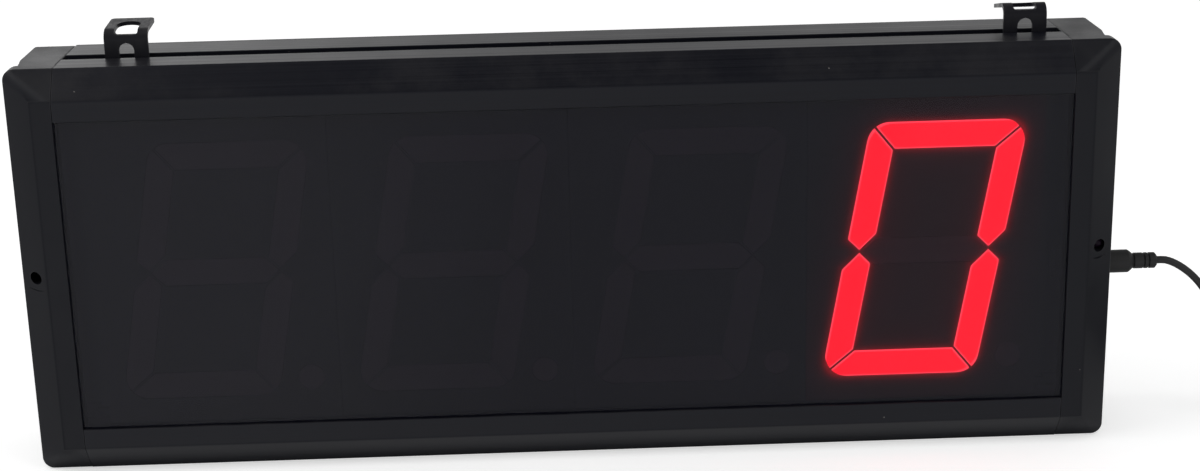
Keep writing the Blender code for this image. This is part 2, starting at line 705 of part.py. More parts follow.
def build_modules(black, diffuser):
    """Four identical modules: a deep housing with a pocket for each diffuser, open at the back."""
    half_height = WINDOW_HEIGHT / 2 - MODULE_SIDE_GAP
    half_width = MODULE_PITCH / 2 - MODULE_SIDE_GAP / 2
    outlines = segment_outlines()
    pockets = segment_outlines(SEGMENT_FIT)
    for number in range(1, MODULE_COUNT + 1):
        middle_x = (number - (MODULE_COUNT + 1) / 2) * MODULE_PITCH
        name = f"digit_{number}_housing"
        back = MODULE_FRONT + MODULE_DEPTH
        low = (middle_x - half_width, MODULE_FRONT, MIDDLE - half_height)
        high = (middle_x + half_width, back, MIDDLE + half_height)
        housing = add_object(name, box_mesh(name, low, high), black)
        rim = MODULE_BACK_RIM
        low = (low[0] + rim, back - MODULE_BACK_RECESS, low[2] + rim)
        high = (high[0] - rim, back + MODULE_BACK_RECESS, high[2] - rim)
        cut(housing, name + "_back", box_mesh(name + "_back", low, high))
        floor = MODULE_FRONT + SEGMENT_THICKNESS + FIT_GAP
        for tag, outline in pockets.items():
            placed = [(middle_x + x, MIDDLE + z) for x, z in outline]
            pocket = prism_mesh(f"{name}_{tag}", placed, MODULE_FRONT - FIT_GAP, floor, along_y)
            cut(housing, f"{name}_{tag}", pocket)
        for tag, outline in outlines.items():
            placed = [(middle_x + x, MIDDLE + z) for x, z in outline]
            node = f"digit_{number}_point" if tag == "point" else f"digit_{number}_segment_{tag}"
            lens = prism_mesh(node, placed, MODULE_FRONT, MODULE_FRONT + SEGMENT_THICKNESS, along_y)
            add_object(node, lens, diffuser)


def build_board(made_of):
    """The display board in its grooves, with a driver behind each module, a buzzer and the lead's socket."""
    half_width = WINDOW_WIDTH / 2 - BOARD_END_GAP
    low = (-half_width, BOARD_FRONT, MIDDLE - SHEET_HEIGHT / 2)
    high = (half_width, BOARD_BACK, MIDDLE + SHEET_HEIGHT / 2)
    board = add_object("display_board", box_mesh("display_board", low, high), made_of)
    sunk = BOARD_THICKNESS / 2
    for number in range(MODULE_COUNT):
        x = (number - (MODULE_COUNT - 1) / 2) * MODULE_PITCH
        z = MIDDLE - CHIP_DROP
        low = (x - CHIP_SIZE[0] / 2, BOARD_BACK - sunk, z - CHIP_SIZE[1] / 2)
        high = (x + CHIP_SIZE[0] / 2, BOARD_BACK + CHIP_SIZE[2], z + CHIP_SIZE[1] / 2)
        join(board, f"driver_{number}", box_mesh(f"driver_{number}", low, high))
    x = half_width - SOCKET_SIZE[0]
    low = (x - SOCKET_SIZE[0] / 2, BOARD_BACK - sunk, JACK_Z - SOCKET_SIZE[1] / 2)
    high = (x + SOCKET_SIZE[0] / 2, BOARD_BACK + SOCKET_SIZE[2], JACK_Z + SOCKET_SIZE[1] / 2)
    join(board, "lead_socket", box_mesh("lead_socket", low, high))
    buzzer = turned_mesh(
        "buzzer",
        [(-sunk, BUZZER_RADIUS), (BUZZER_HEIGHT, BUZZER_RADIUS)],
        (x - MODULE_PITCH / 2, y_at(BOARD_BACK), MIDDLE + CHIP_DROP),
        (0, 1, 0),
    )
    join(board, "buzzer", buzzer)


def bent_strip(start, heading, runs):
    """Centre line of a bent sheet as (depth, height, heading) stations: straight runs and turns."""
    stations = [(start[0], start[1], heading)]
    for kind, amount, radius in runs:
        depth, height, facing = stations[-1]
        if kind == "run":
            stations.append((depth + amount * math.cos(facing), height + amount * math.sin(facing), facing))
            continue
        side = 1 if amount > 0 else -1
        centre = (depth - side * radius * math.sin(facing), height + side * radius * math.cos(facing))
        for step in range(1, 6):
            now = facing + amount * step / 5
            outward = (side * radius * math.sin(now), -side * radius * math.cos(now))
            stations.append((centre[0] + outward[0], centre[1] + outward[1], now))
    return stations


def strip_outline(stations, thickness):
    """Both faces of a bent sheet round its centre line, as one closed outline."""
    half = thickness / 2
    left = [(d - half * math.sin(facing), h + half * math.cos(facing)) for d, h, facing in stations]
    right = [(d + half * math.sin(facing), h - half * math.cos(facing)) for d, h, facing in stations]
    return left + right[::-1]


def build_lug(name, x, flange_angle, made_of):
    """A stamped lug: toe under the slot's front lip, upright plate, flange bent back, and a tongue cut
    out of the plate's arch and left level, so that it reaches under the rear lip."""
    plate = SLOT_FRONT + FIT_GAP + LUG_THICKNESS / 2
    foot = CASE_HEIGHT - RAIL_HEIGHT + CHANNEL_FLOOR + FIT_GAP + LUG_THICKNESS / 2
    top = CASE_HEIGHT + LUG_RISE - LUG_THICKNESS / 2
    rise = top - foot - LUG_FOOT_BEND - LUG_TOP_BEND
    stations = bent_strip(
        (plate - LUG_TOE, foot),
        0.0,
        [
            ("run", LUG_TOE - LUG_FOOT_BEND, 0),
            ("turn", math.pi / 2, LUG_FOOT_BEND),
            ("run", rise, 0),
            ("turn", flange_angle - math.pi / 2, LUG_TOP_BEND),
            ("run", LUG_FLANGE_LENGTH, 0),
        ],
    )
    outline = strip_outline(stations, LUG_THICKNESS)
    spare = LUG_THICKNESS
    low_x, high_x = x - LUG_WIDTH / 2, x + LUG_WIDTH / 2
    lug = add_object(name, prism_mesh(name, outline, low_x - spare, high_x + spare, along_x), made_of)
    far = stations[-1][0] + math.sin(max(0.0, -flange_angle)) * LUG_THICKNESS / 2
    near = plate - LUG_TOE - spare
    trim = [(low_x, near), (high_x, near)]
    trim += arc((high_x - LUG_FLANGE_ROUND, far - LUG_FLANGE_ROUND), LUG_FLANGE_ROUND, 0, 90, 4)
    trim += arc((low_x + LUG_FLANGE_ROUND, far - LUG_FLANGE_ROUND), LUG_FLANGE_ROUND, 90, 180, 4)
    blank = prism_mesh(name + "_blank", trim, foot - 2 * spare, top + LUG_RISE, along_z)
    boolean(lug, add_object(name + "_blank", blank, None, helper=True), "INTERSECT")
    arch_radius = LUG_ARCH_WIDTH / 2
    arch = [(x - arch_radius, foot - 2 * spare), (x + arch_radius, foot - 2 * spare)]
    arch += arc((x, CASE_HEIGHT + LUG_ARCH_RISE - arch_radius), arch_radius, 0, 180, 10)
    before, behind = plate - LUG_FOOT_BEND - LUG_THICKNESS / 4, plate + LUG_THICKNESS
    cut(lug, name + "_arch", prism_mesh(name + "_arch", arch, before, behind, along_y))
    half_slot = LUG_SLOT_WIDTH / 2
    sill = CASE_HEIGHT + LUG_SLOT_SILL
    crown = plate + LUG_TOP_BEND
    window = [(x - half_slot, top + LUG_RISE)]
    window += arc((x - half_slot + LUG_SLOT_CORNER, sill + LUG_SLOT_CORNER), LUG_SLOT_CORNER, 180, 270, 4)
    window += arc((x + half_slot - LUG_SLOT_CORNER, sill + LUG_SLOT_CORNER), LUG_SLOT_CORNER, 270, 360, 4)
    window.append((x + half_slot, top + LUG_RISE))
    cut(lug, name + "_window", prism_mesh(name + "_window", window, plate - spare, crown + FIT_GAP, along_y))
    hole = [(x - half_slot, crown), (x + half_slot, crown)]
    hole += arc((x, plate + LUG_SLOT_REACH - half_slot), half_slot, 0, 180, 10)
    cut(lug, name + "_hole", prism_mesh(name + "_hole", hole, CASE_HEIGHT + LUG_SLOT_SILL / 3, top + LUG_RISE, along_z))
    tongue_half = arch_radius - FIT_GAP
    root = plate - LUG_TOE + LUG_THICKNESS / 2
    end = plate + LUG_TONGUE_LENGTH
    tongue = [(x - tongue_half, root), (x + tongue_half, root)]
    tongue += arc((x, end - tongue_half), tongue_half, 0, 180, 8)
    thin = LUG_THICKNESS / 2 - LUG_THICKNESS / 30
    join(lug, name + "_tongue", prism_mesh(name + "_tongue", tongue, foot - thin, foot + thin, along_z))
    return lug


def build_jack(cap, made_of):
    """The socket: a bush through the cap's side, a body behind it, and a centre pin in its bore."""
    start = (0, y_at(JACK_DEPTH), JACK_Z)
    hole = JACK_BUSH_RADIUS + FIT_GAP
    profile = [(POCKET_SIDE_X - CAP_WALL, hole), (CAP_SIDE_X + CAP_WALL, hole)]
    cut(cap, "jack_hole", turned_mesh("jack_hole", profile, start, (1, 0, 0)))
    shoulder = POCKET_SIDE_X - FIT_GAP
    profile = [
        (shoulder - JACK_BODY_LENGTH, 0),
        (shoulder - JACK_BODY_LENGTH, JACK_BODY_RADIUS),
        (shoulder, JACK_BODY_RADIUS),
        (shoulder, JACK_BUSH_RADIUS),
        (CAP_SIDE_X, JACK_BUSH_RADIUS),
        (CAP_SIDE_X, JACK_BORE_RADIUS),
        (CAP_SIDE_X - JACK_BORE_DEPTH, JACK_BORE_RADIUS),
        (CAP_SIDE_X - JACK_BORE_DEPTH, JACK_PIN_RADIUS),
        (CAP_SIDE_X - JACK_PIN_SINK, JACK_PIN_RADIUS),
        (CAP_SIDE_X - JACK_PIN_SINK, 0),
    ]
    add_object("dc_jack", turned_mesh("dc_jack", profile, start, (1, 0, 0)), made_of)


def build_receiver(made_of):
    """The infrared receiver: a round lens in the right cap's front hole, with its legs towards the board."""
    x = CAP_OUTER_X - SENSOR_HOLE_INSET
    radius = SENSOR_HOLE_RADIUS - FIT_GAP
    back = SENSOR_HOLE_DEPTH - FIT_GAP
    dome = [
        (back - 2 * SENSOR_HOLE_RADIUS - radius * math.sin(turn), radius * math.cos(turn))
        for turn in (math.pi / 2, math.pi / 3, math.pi / 6, 0)
    ]
    lens = turned_mesh("ir_receiver", dome + [(back, radius)], (x, y_at(0), MIDDLE), (0, 1, 0))
    receiver = add_object("ir_receiver", lens, made_of)
    front = POCKET_FRONT + FIT_GAP
    low = (x - radius - SENSOR_LEG_LENGTH, front, MIDDLE - radius * 0.8)
    high = (x, back - FIT_GAP / 2, MIDDLE + radius * 0.8)
    join(receiver, "receiver_legs", box_mesh("receiver_legs", low, high))


def banded_relief(start):
    """(along, radius) points of the plug's relief: raised bands, each with its own bevel at the far end."""
    points = []
    for near, far, bevel in RELIEF_BANDS:
        points += [
            (start + near, RELIEF_RADIUS - RELIEF_GROOVE),
            (start + near + RELIEF_GROOVE / 2, RELIEF_RADIUS),
            (start + far - bevel, RELIEF_RADIUS),
            (start + far, RELIEF_RADIUS - bevel),
        ]
    return points


def ribbed_relief(start):
    """(along, radius) points of the adapter's relief, which tapers from rib to rib towards the lead."""
    points = []
    pitch = ADAPTER_RELIEF_LENGTH / ADAPTER_RELIEF_RIBS
    taper = (ADAPTER_RELIEF_RADIUS - ADAPTER_RELIEF_END_RADIUS) / (ADAPTER_RELIEF_RIBS - 1)
    for rib in range(ADAPTER_RELIEF_RIBS):
        near = start + rib * pitch
        here = ADAPTER_RELIEF_RADIUS - rib * taper
        points += [(near, here - RELIEF_GROOVE), (near + pitch / 4, here), (near + pitch * 3 / 4, here)]
    points.append((start + ADAPTER_RELIEF_LENGTH, ADAPTER_RELIEF_END_RADIUS - RELIEF_GROOVE))
    return points


def build_plug(made_of):
    """The plug: a hollow barrel in the socket, a round moulded grip and a ribbed strain relief."""
    grip_end = PLUG_FACE_X + PLUG_LENGTH
    profile = [
        (PLUG_FACE_X - PLUG_EDGE, 0),
        (PLUG_FACE_X - PLUG_EDGE, PLUG_BARREL_BORE),
        (PLUG_FACE_X - PLUG_BARREL_LENGTH, PLUG_BARREL_BORE),
        (PLUG_FACE_X - PLUG_BARREL_LENGTH, PLUG_BARREL_RADIUS),
        (PLUG_FACE_X, PLUG_BARREL_RADIUS),
        (PLUG_FACE_X, PLUG_RADIUS - PLUG_EDGE),
        (PLUG_FACE_X + PLUG_EDGE, PLUG_RADIUS),
        (grip_end, PLUG_RADIUS),
        (grip_end + PLUG_TAPER * 0.4, PLUG_RADIUS - PLUG_EDGE),
        (grip_end + PLUG_TAPER, RELIEF_RADIUS),
    ]
    profile += banded_relief(grip_end + PLUG_TAPER)
    profile.append((RELIEF_END_X, 0))
    add_object("dc_plug", turned_mesh("dc_plug", profile, (0, y_at(JACK_DEPTH), JACK_Z), (1, 0, 0)), made_of)


# The free stretch of the lead, from the relief down to the floor beside the coil, as (x, y, z)
LEAD_ROUTE = (
    (0.2380, 0.0050, 0.06440),
    (0.2422, 0.0049, 0.06280),
    (0.2468, 0.0045, 0.05980),
    (0.2512, 0.0039, 0.05560),
    (0.2556, 0.0030, 0.04960),
    (0.2594, 0.0018, 0.04240),
    (0.2626, 0.0000, 0.03440),
    (0.2654, -0.0024, 0.02600),
    (0.2686, -0.0056, 0.01800),
    (0.2728, -0.0096, 0.01100),
    (0.2782, -0.0138, 0.00560),
    (0.2844, -0.0172, 0.00270),
)


def coil_start():
    """Where the lead meets the coil, and the direction it runs there."""
    turn = math.radians(238)
    at = Vector((math.cos(turn), math.sin(turn), 0)) * COIL_OUTER
    at += Vector((*COIL_CENTRE, LEAD_RADIUS + FLOOR_GAP))
    return at, Vector((-math.sin(turn), math.cos(turn), 0)), turn


def coil_points():
    """One unbroken line: in and out again at a steady rate, climbing a layer where the spiral reverses."""
    at, heading, first_turn = coil_start()
    layer_angle = 2 * math.pi * COIL_TURNS_PER_LAYER
    total = layer_angle * COIL_LAYERS
    closing = (1.5 * math.pi - (first_turn + total)) % (2 * math.pi)
    steps = round((total + closing) / (2 * math.pi) * COIL_POINTS)
    depth_of_wind = COIL_STEP * COIL_TURNS_PER_LAYER
    points = [at - heading * 2 * LEAD_RADIUS]
    for i in range(steps + 1):
        run = (total + closing) * i / steps
        layer = run / layer_angle
        inward = layer % 2 if layer % 2 <= 1 else 2 - layer % 2
        if layer < COIL_LAYERS:
            radius = COIL_OUTER - depth_of_wind * inward
        else:
            radius = COIL_OUTER + COIL_STEP * (run - total) / (2 * math.pi)
        height = 0.0
        for reversal in range(1, COIL_LAYERS):
            climb = (run - reversal * layer_angle) / math.pi + 0.5
            climb = min(1.0, max(0.0, climb))
            height += COIL_STEP * climb * climb * (3 - 2 * climb)
        turn = first_turn + run
        points.append(
            Vector(
                (
                    COIL_CENTRE[0] + radius * math.cos(turn),
                    COIL_CENTRE[1] + radius * math.sin(turn),
                    LEAD_RADIUS + FLOOR_GAP + height,
                )
            )
        )
    points.append(points[-1] + Vector((COIL_END_STRAIGHT / 2, 0, 0)))
    points.append(points[-1] + Vector((COIL_END_STRAIGHT / 2, 0, 0)))
    return points


def smooth_points(route, step):
    """Points at even steps along a Catmull-Rom curve through the route's points."""
    padded = [2 * route[0] - route[1], *route, 2 * route[-1] - route[-2]]
    dense = []
    for i in range(1, len(padded) - 2):
        before, here, there, after = padded[i - 1 : i + 3]
        for k in range(20):
            t = k / 20
            dense.append(
                0.5
                * (
                    2 * here
                    + (there - before) * t
                    + (2 * before - 5 * here + 4 * there - after) * t**2
                    + (3 * here - before - 3 * there + after) * t**3
                )
            )
    dense.append(route[-1])
    length = sum((b - a).length for a, b in zip(dense, dense[1:]))
    count = max(2, round(length / step))
    kept = [dense[0]]
    gone = 0.0
    for a, b in zip(dense, dense[1:]):
        gone += (b - a).length
        if gone >= length * len(kept) / count and len(kept) < count:
            kept.append(b)
    return kept + [dense[-1]]


def least_gap(points):
    """The smallest gap between stretches of a tube that lie a third of a turn or more apart."""
    skip = COIL_POINTS // 3
    least = 1.0
    for i, here in enumerate(points):
        for there in points[i + skip :]:
            least = min(least, (here - there).length)
    return least - 2 * LEAD_RADIUS


def tube(name, points, resolution, made_of):
    data = bpy.data.curves.new(name, "CURVE")
    data.dimensions = "3D"
    data.bevel_depth = LEAD_RADIUS
    data.bevel_resolution = resolution
    data.use_fill_caps = True
    spline = data.splines.new("POLY")
    spline.points.add(len(points) - 1)
    for point, at in zip(spline.points, points):
        point.co = (*at, 1)
    return add_object(name, data, made_of)


def build_lead(made_of):
    """The free stretch and the coil, which meet face to face."""
    at, heading, _ = coil_start()
    exit_point = Vector((RELIEF_END_X + FIT_GAP, y_at(JACK_DEPTH), JACK_Z))
    meet = at - heading * (2 * LEAD_RADIUS + FIT_GAP)
    route = [exit_point, *(Vector(point) for point in LEAD_ROUTE), meet]
    lead = smooth_points(route, LEAD_POINT_STEP)
    lead.insert(-1, meet - heading * 2 * LEAD_RADIUS)
    lead.insert(1, exit_point + Vector((LEAD_RADIUS, 0, 0)))
    tube("cord_lead", lead, 2, made_of)
    coil = coil_points()
    tube("cord_coil", coil, 1, made_of)
    length = sum((b - a).length for line in (lead, coil) for a, b in zip(line, line[1:]))
    print(f"cord: {length:.3f} m, least gap of the coil to itself {1000 * least_gap(coil):.2f} mm")
    return coil[-1]


def build_adapter(lead_end, made_of):
    """The wall adapter: a rounded case in line with the lead, a ribbed relief and two flat blades."""
    start = lead_end.x + FIT_GAP
    front = start + ADAPTER_RELIEF_LENGTH
    back = front + ADAPTER_SIZE[0]
    middle_depth = lead_end.y + CASE_DEPTH / 2
    low = (front, middle_depth - ADAPTER_SIZE[1] / 2, FLOOR_GAP / 2)
    high = (back, middle_depth + ADAPTER_SIZE[1] / 2, FLOOR_GAP / 2 + ADAPTER_SIZE[2])
    adapter = add_object("power_adapter", box_mesh("power_adapter", low, high), made_of)
    rounding = adapter.modifiers.new("rounded edges", "BEVEL")
    rounding.width = ADAPTER_ROUND
    rounding.segments = 3
    root = ADAPTER_RELIEF_LENGTH + ADAPTER_ROUND
    spread = [(root - along, radius) for along, radius in ribbed_relief(ADAPTER_ROUND)]
    profile = [(0, 0), *reversed(spread), (root, 0)]
    relief = turned_mesh("adapter_relief", profile, (start, lead_end.y, lead_end.z), (1, 0, 0))
    join(adapter, "adapter_relief", relief)
    middle_z = FLOOR_GAP / 2 + ADAPTER_SIZE[2] / 2
    for number, offset in enumerate((-BLADE_SPACING / 2, BLADE_SPACING / 2)):
        depth = middle_depth + offset
        low = (back - ADAPTER_ROUND, depth - BLADE_SIZE[1] / 2, middle_z - BLADE_SIZE[2] / 2)
        high = (back + BLADE_SIZE[0], depth + BLADE_SIZE[1] / 2, middle_z + BLADE_SIZE[2] / 2)
        join(adapter, f"blade_{number}", box_mesh(f"blade_{number}", low, high))


def build_sheets(smoked, panel_black):
    """The window and the back panel, which slide in the rails' grooves and enter both caps."""
    half_width = WINDOW_WIDTH / 2 + SHEET_INSERT
    for name, front, back, made_of in (
        ("front_window", WINDOW_FRONT, WINDOW_BACK, smoked),
        ("back_panel", PANEL_FRONT, PANEL_BACK, panel_black),
    ):
        low = (-half_width, front, MIDDLE - SHEET_HEIGHT / 2)
        high = (half_width, back, MIDDLE + SHEET_HEIGHT / 2)
        add_object(name, box_mesh(name, low, high), made_of)


clear_scene()
anodised = finish_material("black anodised aluminium", (0.022, 0.022, 0.025), 0.35, 0.4)
moulded = finish_material("black moulded plastic", (0.024, 0.025, 0.028), 0.45)
smoked_acrylic = finish_material("smoked acrylic", (0.010, 0.010, 0.012), 0.06)
panel_finish = finish_material("black sheet", (0.02, 0.02, 0.022), 0.5)
housing_black = finish_material("module housing", (0.02, 0.018, 0.022), 0.6)
diffuser_red = finish_material("red diffuser", (0.75, 0.02, 0.03), 0.4)
board_green = finish_material("circuit board", (0.02, 0.12, 0.05), 0.5)
black_steel = finish_material("blackened steel", (0.03, 0.03, 0.035), 0.4, 0.6)
screw_steel = finish_material("black screw steel", (0.05, 0.05, 0.055), 0.35, 0.8)
soft_black = finish_material("soft black plastic", (0.015, 0.015, 0.016), 0.55)

build_rail("top_rail", anodised, turned_over=False)
build_rail("bottom_rail", anodised, turned_over=True)
left_cap = build_cap("left_end_cap", -1, moulded)
right_cap = build_cap("right_end_cap", 1, moulded)
build_jack(right_cap, soft_black)
build_sheets(smoked_acrylic, panel_finish)
build_modules(housing_black, diffuser_red)
build_board(board_green)
build_receiver(soft_black)
build_screws(screw_steel)
build_lug("left_lug", LEFT_LUG_INSET - WINDOW_WIDTH / 2, LEFT_FLANGE_TILT, black_steel)
build_lug("right_lug", WINDOW_WIDTH / 2 - RIGHT_LUG_INSET, RIGHT_FLANGE_TILT, black_steel)
build_plug(soft_black)
build_adapter(build_lead(soft_black), soft_black)
for made in bpy.data.objects:
    if made.type == "MESH" and not made.modifiers:
        shade(made)
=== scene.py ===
"""A four-digit wall counter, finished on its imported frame.

Metres, +Z up, X along the rails, the window faces -Y. "Depth" runs backwards from the front of the
frame, "out" runs outwards from the edge of the window.
"""

import math

import bmesh
import bpy
from mathutils import Matrix, Vector


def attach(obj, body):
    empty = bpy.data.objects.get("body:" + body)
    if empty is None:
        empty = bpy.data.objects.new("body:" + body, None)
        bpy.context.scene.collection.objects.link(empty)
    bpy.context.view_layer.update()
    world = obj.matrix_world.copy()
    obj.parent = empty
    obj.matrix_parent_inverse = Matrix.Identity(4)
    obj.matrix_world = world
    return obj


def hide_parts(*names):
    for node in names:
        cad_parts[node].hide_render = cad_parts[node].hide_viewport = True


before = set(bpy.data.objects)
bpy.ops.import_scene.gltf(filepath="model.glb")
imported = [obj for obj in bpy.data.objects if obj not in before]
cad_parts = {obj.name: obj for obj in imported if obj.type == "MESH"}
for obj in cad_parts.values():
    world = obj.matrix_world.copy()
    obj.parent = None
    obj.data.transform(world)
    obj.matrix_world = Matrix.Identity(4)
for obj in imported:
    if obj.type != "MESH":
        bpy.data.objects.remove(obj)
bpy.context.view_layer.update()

# Digit modules
# Four identical modules stand side by side. Each is a deep housing moulded in black plastic, with a
# printed matt black face and a pocket for each diffuser. Only their faces show, through the window.


def new_finish(name, colour, roughness, specular=0.5, metallic=0.0):
    """A finish with its plain values. Patterns are linked over them."""
    made = bpy.data.materials.new(name)
    made.use_nodes = True
    shader = made.node_tree.nodes["Principled BSDF"]
    shader.inputs["Base Color"].default_value = (*colour, 1)
    shader.inputs["Roughness"].default_value = roughness
    shader.inputs["Specular IOR Level"].default_value = specular
    shader.inputs["Metallic"].default_value = metallic
    made.diffuse_color = (*colour, 1)
    return made, made.node_tree, shader


def place(tree, kind, inputs=None, **settings):
    """A node with its settings, and a value or another node's output on each named input."""
    node = tree.nodes.new("ShaderNode" + kind)
    for setting, value in settings.items():
        setattr(node, setting, value)
    for name, value in (inputs or {}).items():
        if isinstance(value, bpy.types.NodeSocket):
            tree.links.new(value, node.inputs[name])
        else:
            node.inputs[name].default_value = value
    return node


def sums(tree, operation, first, second=0.0, third=0.0, clamp=False):
    """One step of arithmetic between outputs and numbers."""
    node = place(tree, "Math", {0: first, 1: second, 2: third}, operation=operation, use_clamp=clamp)
    return node.outputs[0]


def blend_colours(tree, share, first, second):
    """A colour that goes from the first to the second as the share goes from nought to one."""
    node = tree.nodes.new("ShaderNodeMix")
    node.data_type = "RGBA"
    for index, value in ((0, share), (6, first), (7, second)):
        if isinstance(value, bpy.types.NodeSocket):
            tree.links.new(value, node.inputs[index])
        elif index == 0:
            node.inputs[index].default_value = value
        else:
            node.inputs[index].default_value = (*value, 1)
    return node.outputs[2]


def ramp(tree, value, low, high, start=0.0, end=1.0):
    """A value carried smoothly from start to end as it goes from low to high."""
    node = place(tree, "MapRange", {"Value": value, "From Min": low, "From Max": high}, clamp=True)
    node.interpolation_type = "SMOOTHSTEP"
    node.inputs["To Min"].default_value = start
    node.inputs["To Max"].default_value = end
    return node.outputs[0]


def start_effect(name, numbers, outputs):
    """A shader node group with its named inputs and outputs."""
    group = bpy.data.node_groups.new(name, "ShaderNodeTree")
    for label, value in numbers.items():
        socket = group.interface.new_socket(label, in_out="INPUT", socket_type="NodeSocketFloat")
        socket.default_value = value
    for label in outputs:
        group.interface.new_socket(label, in_out="OUTPUT", socket_type="NodeSocketFloat")
    return group, group.nodes.new("NodeGroupInput").outputs, group.nodes.new("NodeGroupOutput").inputs


def use_effect(tree, group, inputs=None):
    """The outputs of a node group placed in a tree."""
    node = tree.nodes.new("ShaderNodeGroup")
    node.node_tree = group
    for name, value in (inputs or {}).items():
        node.inputs[name].default_value = value
    return node.outputs


def position(tree):
    """Where a point of the surface lies, in the object's own metres."""
    return place(tree, "TexCoord").outputs["Object"]


def split(tree, vector):
    """The X, Y and Z of a vector."""
    return place(tree, "SeparateXYZ", {0: vector}).outputs


def noise(tree, at, scale, detail, roughness=0.5):
    """Soft random patches, about as many in a metre as the scale."""
    inputs = {"Vector": at, "Scale": scale, "Detail": detail, "Roughness": roughness}
    return place(tree, "TexNoise", inputs).outputs[0]


def feed(tree, shader, patterns, height=None, strength=0.0, distance=0.0):
    """Links patterns over the plain values of a finish, and a height as a bump."""
    for name, pattern in patterns.items():
        tree.links.new(pattern, shader.inputs[name])
    if height is not None:
        bump = place(tree, "Bump", {"Height": height, "Strength": strength, "Distance": distance})
        tree.links.new(bump.outputs[0], shader.inputs["Normal"])


def make_moulded_grain():
    """The fine matt grain that a mould leaves, as a height and as a tone about one half."""
    group, given, result = start_effect("moulded grain", {"Grain Size": 0.0003}, ("Height", "Tone"))
    at = position(group)
    fine = noise(group, at, sums(group, "DIVIDE", 1.0, given["Grain Size"]), 3.0, 0.6)
    patches = sums(group, "MULTIPLY", noise(group, at, 55.0, 3.0, 0.55), 0.65)
    group.links.new(fine, result["Height"])
    group.links.new(sums(group, "MULTIPLY_ADD", fine, 0.35, patches), result["Tone"])
    return group


moulded_grain = make_moulded_grain()


def grained(tree, size, dark, light):
    """The mould's grain, and a base colour that follows it between two tones."""
    grain = use_effect(tree, moulded_grain, {"Grain Size": size})
    return grain, blend_colours(tree, grain["Tone"], dark, light)


MODULE_PITCH = 0.0905
MODULE_COUNT = 4
MIDDLE_Z = 0.080
DIGIT_HEIGHT = 0.1016
DIGIT_WIDTH = 0.0602
DIGIT_STROKE = 0.0103
DIGIT_CORNER = 0.0084
DIGIT_LEAN = math.tan(math.radians(10))
SEGMENT_GAP = 0.001
BEHIND_FACE_Y = -0.0205
GLOWS = ((0.65, -1100.0), (0.055, -180.0))
GLOW_ENCLOSED = 0.022
GLOW_RED = (3.0, 0.012, 0.03)


def make_digit_outline():
    """Distance from the nearest edge of the fourth digit's six lit bars, below nought inside them.

    Enclosed is one inside the loops of the nought and nought outside it.
    """
    group, _, result = start_effect("digit outline", {}, ("Distance", "Enclosed"))
    at = split(group, position(group))
    x = sums(group, "SUBTRACT", at[0], MODULE_PITCH * (MODULE_COUNT - 1) / 2)
    z = sums(group, "SUBTRACT", at[2], MIDDLE_Z)
    upright_x = sums(group, "MULTIPLY_ADD", z, -DIGIT_LEAN, x)
    aside = sums(group, "ABSOLUTE", upright_x)
    above = sums(group, "ABSOLUTE", z)
    past_x = sums(group, "SUBTRACT", aside, DIGIT_WIDTH / 2 - DIGIT_CORNER)
    past_z = sums(group, "SUBTRACT", above, DIGIT_HEIGHT / 2 - DIGIT_CORNER)
    out_x = sums(group, "MAXIMUM", past_x, 0.0)
    out_z = sums(group, "MAXIMUM", past_z, 0.0)
    squares = sums(group, "MULTIPLY_ADD", out_x, out_x, sums(group, "MULTIPLY", out_z, out_z))
    inside = sums(group, "MINIMUM", sums(group, "MAXIMUM", past_x, past_z), 0.0)
    outer = sums(group, "SUBTRACT", sums(group, "ADD", sums(group, "SQRT", squares), inside), DIGIT_CORNER)
    group.links.new(ramp(group, outer, 0.0, -DIGIT_STROKE), result["Enclosed"])
    from_middle = sums(group, "ABSOLUTE", sums(group, "ADD", outer, DIGIT_STROKE / 2))
    path = sums(group, "SUBTRACT", from_middle, DIGIT_STROKE / 2)
    corner = (DIGIT_HEIGHT - DIGIT_WIDTH) / 2
    from_diagonal = sums(group, "ADD", sums(group, "SUBTRACT", aside, above), corner)
    leaning = sums(group, "SIGN", sums(group, "MULTIPLY", upright_x, z))
    steepness = sums(group, "MULTIPLY_ADD", leaning, DIGIT_LEAN / math.sqrt(2), math.sqrt(2))
    from_mitre = sums(group, "DIVIDE", sums(group, "ABSOLUTE", from_diagonal), steepness)
    mitre = sums(group, "SUBTRACT", SEGMENT_GAP / 2, from_mitre)
    from_tip = sums(group, "SUBTRACT", sums(group, "ABSOLUTE", x), (DIGIT_WIDTH - DIGIT_STROKE) / 2)
    above_tip = sums(group, "SUBTRACT", above, sums(group, "ABSOLUTE", from_tip))
    tip = sums(group, "MULTIPLY_ADD", above_tip, -math.sqrt(0.5), SEGMENT_GAP / 2)
    group.links.new(sums(group, "MAXIMUM", path, sums(group, "MAXIMUM", mitre, tip)), result["Distance"])
    return group


digit_outline = make_digit_outline()


def creep_light(tree, shader):
    """Red light that creeps through the front face beside a lit bar and fades outwards.

    Each glow is its strength at the bar's edge and its fade for each metre from there.
    """
    outline = use_effect(tree, digit_outline)
    beside = sums(tree, "MAXIMUM", outline["Distance"], 0.0)
    creeping = sums(tree, "MULTIPLY", outline["Enclosed"], GLOW_ENCLOSED)
    for strength, fade in GLOWS:
        faded = sums(tree, "EXPONENT", sums(tree, "MULTIPLY", beside, fade))
        creeping = sums(tree, "MULTIPLY_ADD", faded, strength, creeping)
    on_face = sums(tree, "LESS_THAN", split(tree, position(tree))[1], BEHIND_FACE_Y)
    red = blend_colours(tree, sums(tree, "MULTIPLY", creeping, on_face), (0, 0, 0), GLOW_RED)
    feed(tree, shader, {"Emission Color": red})
    shader.inputs["Emission Strength"].default_value = 0.5


